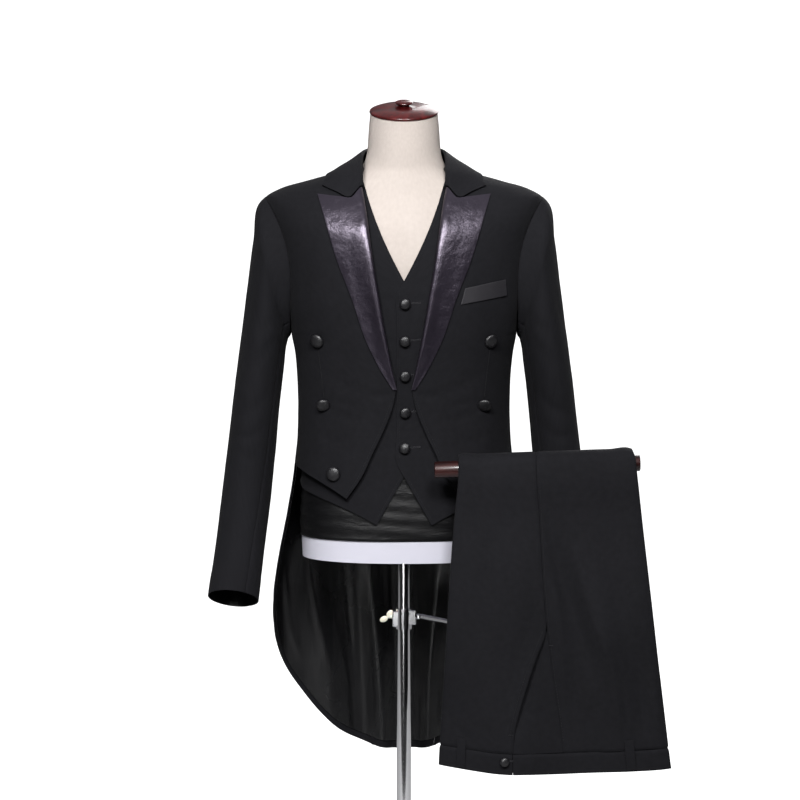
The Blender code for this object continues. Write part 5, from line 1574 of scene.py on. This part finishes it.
# Folds of the trousers, each as three places by x and height, its half width and its depth
LEG_CREASES = creases_at(leg_point, [
    ((0.224, 0.915), (0.240, 0.815), (0.258, 0.720), 0.0070, 0.0034),
    ((0.240, 0.850), (0.268, 0.730), (0.312, 0.610), 0.0120, 0.0054),
    ((0.262, 0.860), (0.296, 0.740), (0.338, 0.635), 0.0110, -0.0052),
    ((0.334, 0.800), (0.350, 0.700), (0.362, 0.600), 0.0130, 0.0040),
    ((0.392, 0.640), (0.398, 0.580), (0.404, 0.530), 0.0100, -0.0034),
    ((0.236, 0.800), (0.247, 0.705), (0.258, 0.605), 0.0095, -0.0040),
    ((0.285, 0.870), (0.308, 0.750), (0.326, 0.660), 0.0170, -0.0050),
    ((0.368, 0.720), (0.376, 0.620), (0.382, 0.530), 0.0140, 0.0056),
    ((0.152, 0.905), (0.130, 0.780), (0.116, 0.650), 0.0160, 0.0032),
    ((0.198, 0.860), (0.186, 0.760), (0.170, 0.660), 0.0180, -0.0034),
    ((0.216, 0.760), (0.184, 0.680), (0.166, 0.610), 0.0070, 0.0012),
    ((0.340, 0.658), (0.347, 0.600), (0.353, 0.535), 0.0030, 0.0018),
    ((0.334, 0.640), (0.338, 0.600), (0.343, 0.540), 0.0060, -0.0014),
    ((0.300, 0.590), (0.290, 0.560), (0.276, 0.535), 0.0070, 0.0010),
    ((0.074, 0.566), (0.090, 0.545), (0.116, 0.526), 0.0050, 0.0015),
    ((0.126, 0.560), (0.134, 0.542), (0.150, 0.526), 0.0050, 0.0010),
])
POCKET_LINE = [leg_point(*p) for p in ((0.2235, 0.706), (0.1935, 0.618), (0.1745, 0.535))]
MOUTH = [Crease(POCKET_LINE, 0.0085, -0.0062)]
FACING_FOLDS = [
    Crease(POCKET_LINE, 0.0110, 0.0060),
    Crease([leg_point(*p) for p in ((0.184, 0.582), (0.202, 0.573), (0.226, 0.580))], 0.0040, 0.0012),
]


def folded_panel(name, rows, inner_edge, crease_right, cut, hems=None, creases=()):
    """A leg panel: its outer layer, the crease, and the start of the layer that it folds back to."""
    outer = [0.0, 0.25, 0.5, 0.75, 1.0]
    bends = [45, 90, 135]
    columns = len(outer) + len(bends) + 1
    seam_gap, returned = 0.0006, 0.10

    def section(column, along, face):
        edge = 1.0 if crease_right else 0.0
        sign = -1 if crease_right else 1
        width = 0.30
        inset = FOLD_RADIUS / width
        if column < len(outer):
            start = inner_edge(along) + (seam_gap if crease_right else -seam_gap)
            return mix(start, edge + sign * inset, outer[column]), NEAR_LEG_OUT - TROUSER_CLOTH * face
        if column < len(outer) + len(bends):
            turn = math.radians(bends[column - len(outer)])
            radius = FOLD_RADIUS - TROUSER_CLOTH * face
            return (
                edge + sign * (inset - radius * math.sin(turn) / width),
                FOLD_MIDDLE + radius * math.cos(turn),
            )
        back = inset if column == columns - 1 else returned
        return edge + sign * back, NEAR_LEG_IN + TROUSER_CLOTH * face

    def place(column, row, face):
        across, deep = section(column, rows[row], face)
        return trouser_at(across, rows[row], deep)

    return cloth(
        name, columns, len(rows) - 1, place, TROUSER_CLOTH, [WOOL], "suit_cloth", cut, creases,
        sewn=("first", "low" if len(rows) > 4 else "high"), hems=hems, soft=0.0002,
    )


def layer_panel(name, rows, first, last, deep, thick, columns, cut, **options):
    """A flat piece that lies on or under the trousers' outer layer."""
    def place(column, row, face):
        along = rows[row]
        across = mix(first(along), last(along), column / columns)
        return trouser_at(across, along, deep - thick * face)

    return cloth(name, columns, len(rows) - 1, place, thick, [WOOL], "suit_cloth", cut, **options)


def make_trousers():
    bar = ["trouser_bar_turned"]
    hems = {"high": 0.035}
    front = folded_panel(
        "trouser_front_r", LEG_ROWS, pocket_across, False, Cut(0.195, 1.010, 0.1469, "hung", bar), hems,
        LEG_CREASES + MOUTH)
    back = folded_panel(
        "trouser_back_r", LEG_ROWS, seam_across, True, Cut(0.210, 1.000, 0.1760, "hung", bar), hems,
        LEG_CREASES)
    rows = [0.0, *LEG_ROWS[:-1], 2.985]
    layer_panel(
        "trouser_leg_l", rows, lambda a: 0.012, lambda a: 0.988, FAR_LEG[1], FAR_LEG[1] - FAR_LEG[0], 4,
        Cut(0.365, 1.010, 0.2740, "hung", bar), soft=0.0)
    facing_rows = [a for a in LEG_ROWS if a <= 0.4681]
    layer_panel(
        "pocket_facing", facing_rows, lambda a: max(pocket_across(a) - 0.045, 0.12),
        lambda a: seam_across(a) + 0.02, NEAR_LEG_OUT - TROUSER_CLOTH - 0.0006, 0.0014, 3,
        Cut(0.103, 0.205, 0.0134, "laid", ["trouser_leg_l_cloth"]), creases=FACING_FOLDS, soft=0.0)
    band = BAND_ALONG - GAP / TROUSER_DROP
    waist = folded_panel(
        "waistband_front", [0.0, band / 2, band], lambda a: 0.3176, False,
        Cut(0.160, 0.033, None, "hung", ["trouser_front_r_cloth"]))
    folded_panel(
        "waistband_back", [0.0, band / 2, band], lambda a: 0.3184, True,
        Cut(0.295, 0.033, None, "hung", ["trouser_back_r_cloth"]))
    return front, back, waist


def waist_across(x):
    return (x - WAIST_LEFT) / WAIST_WIDTH


def make_belt_loops():
    for n, (left, right) in enumerate(((0.0825, 0.0965), (0.3495, 0.3650)), 1):
        def place(column, row, face, left=left, right=right):
            along = mix(0.004, 0.104, row / 3)
            bulge = 0.0012 * math.sin(math.pi * row / 3)
            deep = NEAR_LEG_OUT + 0.0007 + bulge + LOOP_CLOTH * (1 - face)
            return trouser_at(waist_across(mix(left, right, column)), along, deep)

        cloth(
            f"belt_loop{n}", 1, 3, place, LOOP_CLOTH, [WOOL], "suit_cloth",
            Cut(0.015, 0.049, None, "laid", ["waistband_front_cloth"]), soft=0.0,
        )


# Buttons, buttonholes and stitches

def skin_of(piece):
    """The piece's outer face as a tree for finding the nearest place on it."""
    mesh = piece.data
    return BVHTree.FromPolygons([v.co for v in mesh.vertices], [f.vertices for f in mesh.polygons])


def button(node_name, radius, panel, near, droop, turn):
    """A cloth-covered button: a crowned face, a rolled rim with small pleats beneath, and a shank."""
    seat, normal, _, _ = skin_of(panel).find_nearest(near)
    profile = [
        (0, 0), (0.0022, 0), (0.0020, 0.0022), (radius * 0.55, 0.0026), (radius * 0.92, 0.0030),
        (radius * 0.985, 0.0037), (radius, 0.0048), (radius * 0.97, 0.0058), (radius * 0.88, 0.0068),
        (radius * 0.74, 0.0077), (radius * 0.55, 0.0083), (radius * 0.30, 0.0088), (0, 0.0090),
    ]
    facing_out = normal.to_track_quat("Z", "Y").to_matrix().to_4x4()
    droop, turn = math.radians(droop) * BUTTON_LEAN, math.radians(turn) * BUTTON_LEAN
    lean = Matrix.Rotation(droop, 4, "X") @ Matrix.Rotation(turn, 4, "Y")
    lift = 0.0022 * math.sin(abs(droop) + abs(turn))
    place = Matrix.Translation(seat + normal * (0.0004 + lift)) @ facing_out @ lean
    made = turned(node_name + "_covered", profile, 48, [BUTTON_SATIN], "satin", [node_name], place, 70)
    centre = place @ Vector((0, 0, 0))
    right, over, axis = (place.to_3x3() @ Vector(way) for way in ((1, 0, 0), (0, 1, 0), (0, 0, 1)))
    for v in made.data.vertices:
        local = v.co - centre
        up = local.dot(axis)
        spoke = local - axis * up
        reach = spoke.length / radius
        if reach > 0.5 and up < 0.0046:
            pleat = 0.00025 * math.sin(math.atan2(spoke.dot(over), spoke.dot(right)) * 12)
            v.co += spoke.normalized() * pleat * ease((reach - 0.5) / 0.4)


def make_buttons(fronts, vest, waist):
    for side in (-1, 1):
        for n, b in enumerate(COAT_BUTTONS, 1):
            name = f"{side_name('coat_button', side)}{n}"
            near = coat.reached(side, b.reach, b.height, 0.003)
            button(name, COAT_BUTTON_RADIUS, fronts[side], near, b.droop, -side * b.turn)
    for n, b in enumerate(VEST_BUTTONS, 1):
        near = vest_point(1, b.reach, b.height, 0.006)
        button(f"vest_button{n}", VEST_BUTTON_RADIUS, vest, near, b.droop, b.turn)
    near = trouser_at(waist_across(0.1575), WAIST_BUTTON_ALONG, NEAR_LEG_OUT + 0.003)
    button("waist_button", WAIST_BUTTON_RADIUS, waist, near, 6, 20)


def lay_thread(mesh, centre, across, along, up, length, segments, first, last):
    """A bar of thread that lies along a direction. first and last are its ends' radii."""
    turn = Matrix((across, along, up)).transposed().to_4x4()
    lying = moved(*centre) @ turn @ tipped(-90, "X")
    return bmesh.ops.create_cone(
        mesh, cap_ends=True, segments=segments, radius1=first, radius2=last, depth=length, matrix=lying,
    )["verts"]


def stitch_row(name, panel, points, length=0.0032, gap=0.0014, radius=0.00022, sink=0.45, thread_kind=THREAD):
    """A row of sewn stitches along a path on a piece, each a small tapered bead of thread."""
    skin = skin_of(panel)
    path = [Vector(p) for p in points]
    spans = [(b - a).length for a, b in zip(path, path[1:])]
    total = sum(spans)

    def along(distance):
        for a, b, span in zip(path, path[1:], spans):
            if distance <= span:
                return a + (b - a) * (distance / span)
            distance -= span
        return path[-1]

    def is_end(edge):
        return max(len(f.verts) for f in edge.link_faces) == 6

    thread = bmesh.new()
    start = 0.0
    while start + length < total:
        ends = [skin.find_nearest(along(start + d)) for d in (0.0, length)]
        if ends[0][0] is not None and ends[1][0] is not None:
            a, b = ends[0][0], ends[1][0]
            normal = (ends[0][1] + ends[1][1]).normalized()
            direction = (b - a).normalized()
            side = direction.cross(normal)
            middle = (a + b) / 2 + normal * radius * (1 - sink)
            bead = lay_thread(
                thread, middle, side, direction, normal, (b - a).length, 6, radius, radius * 0.8,
            )
            bmesh.ops.bevel(
                thread, geom=list({e for v in bead for e in v.link_edges if is_end(e)}),
                offset=radius * 0.4, segments=1, profile=0.5, affect="EDGES", material=-1,
            )
        start += length + gap
    new_piece(name, finished_mesh(name, thread), [thread_kind], "suit_cloth")


def buttonhole(name, panel, start, end, width=0.0030):
    """A worked hole: a raised oval of close thread round a slit, with bars across its ends."""
    skin = skin_of(panel)
    hits = [skin.find_nearest(Vector(p)) for p in (start, end)]
    a, b = hits[0][0], hits[1][0]
    normal = (hits[0][1] + hits[1][1]).normalized()
    direction = (b - a).normalized()
    side = direction.cross(normal)
    length = (b - a).length
    frame_of_bars = direction, side, normal
    thread = bmesh.new()
    pairs = int(length / 0.00055)
    for k in range(2 * pairs):
        lean = 1 if k % 2 else -1
        found = skin.find_nearest(a + direction * (length * (k // 2) / (pairs - 1)))
        centre = found[0] + side * (lean * width * 0.27) + normal * 0.00012
        lay_thread(thread, centre, *frame_of_bars, width * 0.46, 6, 0.00026, 0.00022)
    for end in (a, b):
        lay_thread(thread, end + normal * 0.0002, *frame_of_bars, width * 1.05, 8, 0.00036, 0.00036)
    new_piece(name, finished_mesh(name, thread), [HOLE_THREAD_PAINTED_HIGHLIGHT], "suit_cloth")


def span(low, high, count):
    return [mix(low, high, k / count) for k in range(count + 1)]


def stitch_coat_front(side, front):
    """A row along the front edge, and the dart beside the buttons as a row of close stitches."""
    heights = span(COAT_EDGE[0].height + 0.006, COAT_EDGE[5].height - 0.004, 24)
    edge = [coat.reached(side, smooth(COAT_EDGE, h, 1) + 0.0055, h, 0.001) for h in heights]
    stitch_row(side_name("front_edge_stitches", side), front, edge)
    dart = [coat_point(side, mix(0.1290, 0.1390, t), mix(1.068, 1.150, t)) for t in span(0, 1, 12)]
    name = side_name("front_dart", side)
    stitch_row(name, front, dart, length=0.0040, gap=0.0003, radius=0.0003, sink=0.7)


def stitch_vest_edge(side, vest):
    for name, low, high, count in (("opening", 1.262, 1.395, 20), ("point", 0.872, 0.940, 12)):
        edge = [vest_point(side, smooth(VEST_EDGE, h, 1) + 0.005, h) for h in span(low, high, count)]
        stitch_row(side_name(f"vest_{name}_stitches", side), vest, edge)


def stitch_vest_lap(vest):
    """The row down the edge that laps over, past the centre line, and the buttonholes beside it."""
    lifted = VEST_LAP + 0.001
    edge = [vest_point(-1, VEST_OVERLAP - 0.005, h, lifted) for h in span(0.972, 1.240, 30)]
    stitch_row("vest_front_stitches", vest, edge)
    for n, b in enumerate(VEST_BUTTONS, 1):
        ends = [vest_point(1, 0.0060, b.height, VEST_LAP), vest_point(1, 0.0255, b.height + 0.0012, VEST_LAP)]
        buttonhole(f"vest_buttonhole{n}", vest, *ends)


def stitch_trousers(front, back, waist):
    pocket = [leg_point(smooth(POCKET, h, 1) - 0.0065, h) for h in span(0.530, 0.705, 22)]
    stitch_row("pocket_stitches", front, pocket)
    level = 0.540
    tack = [leg_point(smooth(POCKET, level, 1) - inset, level) for inset in (0.010, 0.002)]
    stitch_row("pocket_bar_tack", front, tack, length=0.0018, gap=0.0002, radius=0.0005)
    top_tack = [leg_point(0.2285, 0.6835), leg_point(0.2355, 0.6830)]
    stitch_row(
        "pocket_top_tack", back, top_tack, length=0.0016, gap=0.0002, radius=0.0006, sink=0.2,
        thread_kind=HOLE_THREAD_PAINTED_HIGHLIGHT)
    seam = [leg_point(smooth(SIDE_SEAM, h, 1) + 0.0030, h) for h in span(0.530, 0.940, 40)]
    stitch_row("side_seam_stitches", back, seam)
    ends = [trouser_at(waist_across(x), WAIST_BUTTON_ALONG, NEAR_LEG_OUT) for x in (0.1590, 0.1740)]
    buttonhole("waist_buttonhole", waist, *ends)


def make_stitching(fronts, vests, trousers, waist):
    for side in (-1, 1):
        stitch_coat_front(side, fronts[side])
        stitch_vest_edge(side, vests[side])
    stitch_vest_lap(vests[1])
    stitch_trousers(*trousers, waist)


# The room

def make_floor():
    """A pale floor that rises behind the object as a smooth backdrop."""
    room = bmesh.new()
    reach, front, bend, wall_y, height = 7.0, -1.5, 2.5, 7.5, 7.0
    profile = [(front, 0.0), (0.0, 0.0), (wall_y - bend, 0.0)]
    profile += [
        (wall_y - bend + bend * math.sin(t), bend - bend * math.cos(t)) for t in span(0.1, math.pi / 2, 12)
    ]
    profile.append((wall_y, height))
    verts = [room.verts.new((-reach, y, z)) for y, z in profile]
    edges = [room.edges.new(pair) for pair in zip(verts, verts[1:])]
    swept = bmesh.ops.extrude_edge_only(room, edges=edges)["geom"]
    for v in (g for g in swept if isinstance(g, bmesh.types.BMVert)):
        v.co.x = reach
    bmesh.ops.recalc_face_normals(room, faces=room.faces[:])
    mesh = finished_mesh("pale_floor", room)
    floor = bpy.data.objects.new("pale_floor", mesh)
    bpy.context.scene.collection.objects.link(floor)
    material, tree, shader = finish(
        "pale_paper", Base_Color=(0.45, 0.45, 0.45, 1), Roughness=0.9, Specular_IOR_Level=0.1,
        Emission_Color=(1, 1, 1, 1),
    )
    seen = node(tree, "ShaderNodeLightPath").outputs["Is Camera Ray"]
    feed(tree, shader, Emission_Strength=number(tree, "MULTIPLY", seen, 0.84))
    mesh.materials.append(material)


def make_camera():
    scene = bpy.context.scene
    camera = bpy.data.cameras.new("camera")
    camera.lens = CAMERA_LENS
    camera.sensor_width = 36
    camera.clip_end = 60
    holder = bpy.data.objects.new("camera", camera)
    holder.location = CAMERA_PLACE
    holder.rotation_euler = (math.radians(90) - CAMERA_DOWN, 0, 0)
    scene.collection.objects.link(holder)
    scene.camera = holder
    scene.view_settings.view_transform = "Standard"
    scene.view_settings.look = "Medium High Contrast"


def make_world():
    """White to the camera, and a dim grey sky, brighter above, to everything else."""
    world = bpy.data.worlds.new("studio")
    bpy.context.scene.world = world
    world.use_nodes = True
    tree = world.node_tree
    sky = tree.nodes["Background"]
    sight = node(tree, "ShaderNodeLightPath")
    place = node(tree, "ShaderNodeTexCoord")
    parts = node(tree, "ShaderNodeSeparateXYZ", {0: place.outputs["Generated"]})
    level = node(tree, "ShaderNodeMapRange", {"Value": parts.outputs[2], "From Min": -1.0, "From Max": 1.0})
    light = ramp(
        tree, level.outputs[0],
        (0.30, (0.01,) * 3), (0.50, (0.03,) * 3), (0.62, (0.08,) * 3), (0.85, (0.45, 0.45, 0.46)),
    )
    mixed = {"Fac": sight.outputs["Is Camera Ray"], "Color1": light, "Color2": (1, 1, 1, 1)}
    feed(tree, sky, Color=node(tree, "ShaderNodeMixRGB", mixed).outputs[0])
    sky.inputs["Strength"].default_value = 1.0


def make_lights():
    """Soft lights in front and behind, and three that only the shine of the satin shows."""
    for name, at, to, size, power in (
        ("key_light", (-0.65, -2.8, 2.8), (0, 0, 1.15), 0.6, 84),
        ("fill_light", (0.45, -2.9, 2.9), (0, 0, 1.2), 0.6, 74),
        ("back_light", (1.2, 3.0, 3.0), (0, 0, 1.1), 2.0, 44),
        ("satin_light_left", (-1.0, -3.4, 2.00), (0, 0, 1.3), 0.7, 10),
        ("satin_light_right", (1.0, -3.4, 1.98), (0, 0, 1.3), 0.7, 15),
        ("satin_light_low", (-0.45, -3.5, 0.50), (0, 0, 0.65), 0.8, 9),
    ):
        lamp = bpy.data.lights.new(name, "AREA")
        lamp.shape = "SQUARE"
        lamp.size = size
        lamp.energy = power
        stand = bpy.data.objects.new(name, lamp)
        stand.location = at
        stand.rotation_euler = (Vector(to) - Vector(at)).to_track_quat("-Z", "Y").to_euler()
        stand.visible_diffuse = not name.startswith("satin")
        bpy.context.scene.collection.objects.link(stand)


def make_stage():
    make_floor()
    make_camera()
    make_world()
    make_lights()


def main():
    make_stand()
    dress_hardware()
    make_wing_screw()
    make_form()
    make_neck_cap()
    make_hip_band()
    fronts, vests = {}, {}
    for side in (-1, 1):
        fronts[side] = make_coat_front(side)
        make_side_body(side)
        make_coat_back(side)
        make_skirt(side)
        make_tail_lining(side)
        make_sleeve(side, "top")
        make_sleeve(side, "under")
        make_lapel(side)
        vests[side] = make_vest_front(side)
    make_collar()
    make_breast_welt()
    make_vest_back()
    front, back, waist = make_trousers()
    make_belt_loops()
    make_buttons(fronts, vests[1], waist)
    make_stitching(fronts, vests, (front, back), waist)
    make_stage()


main()
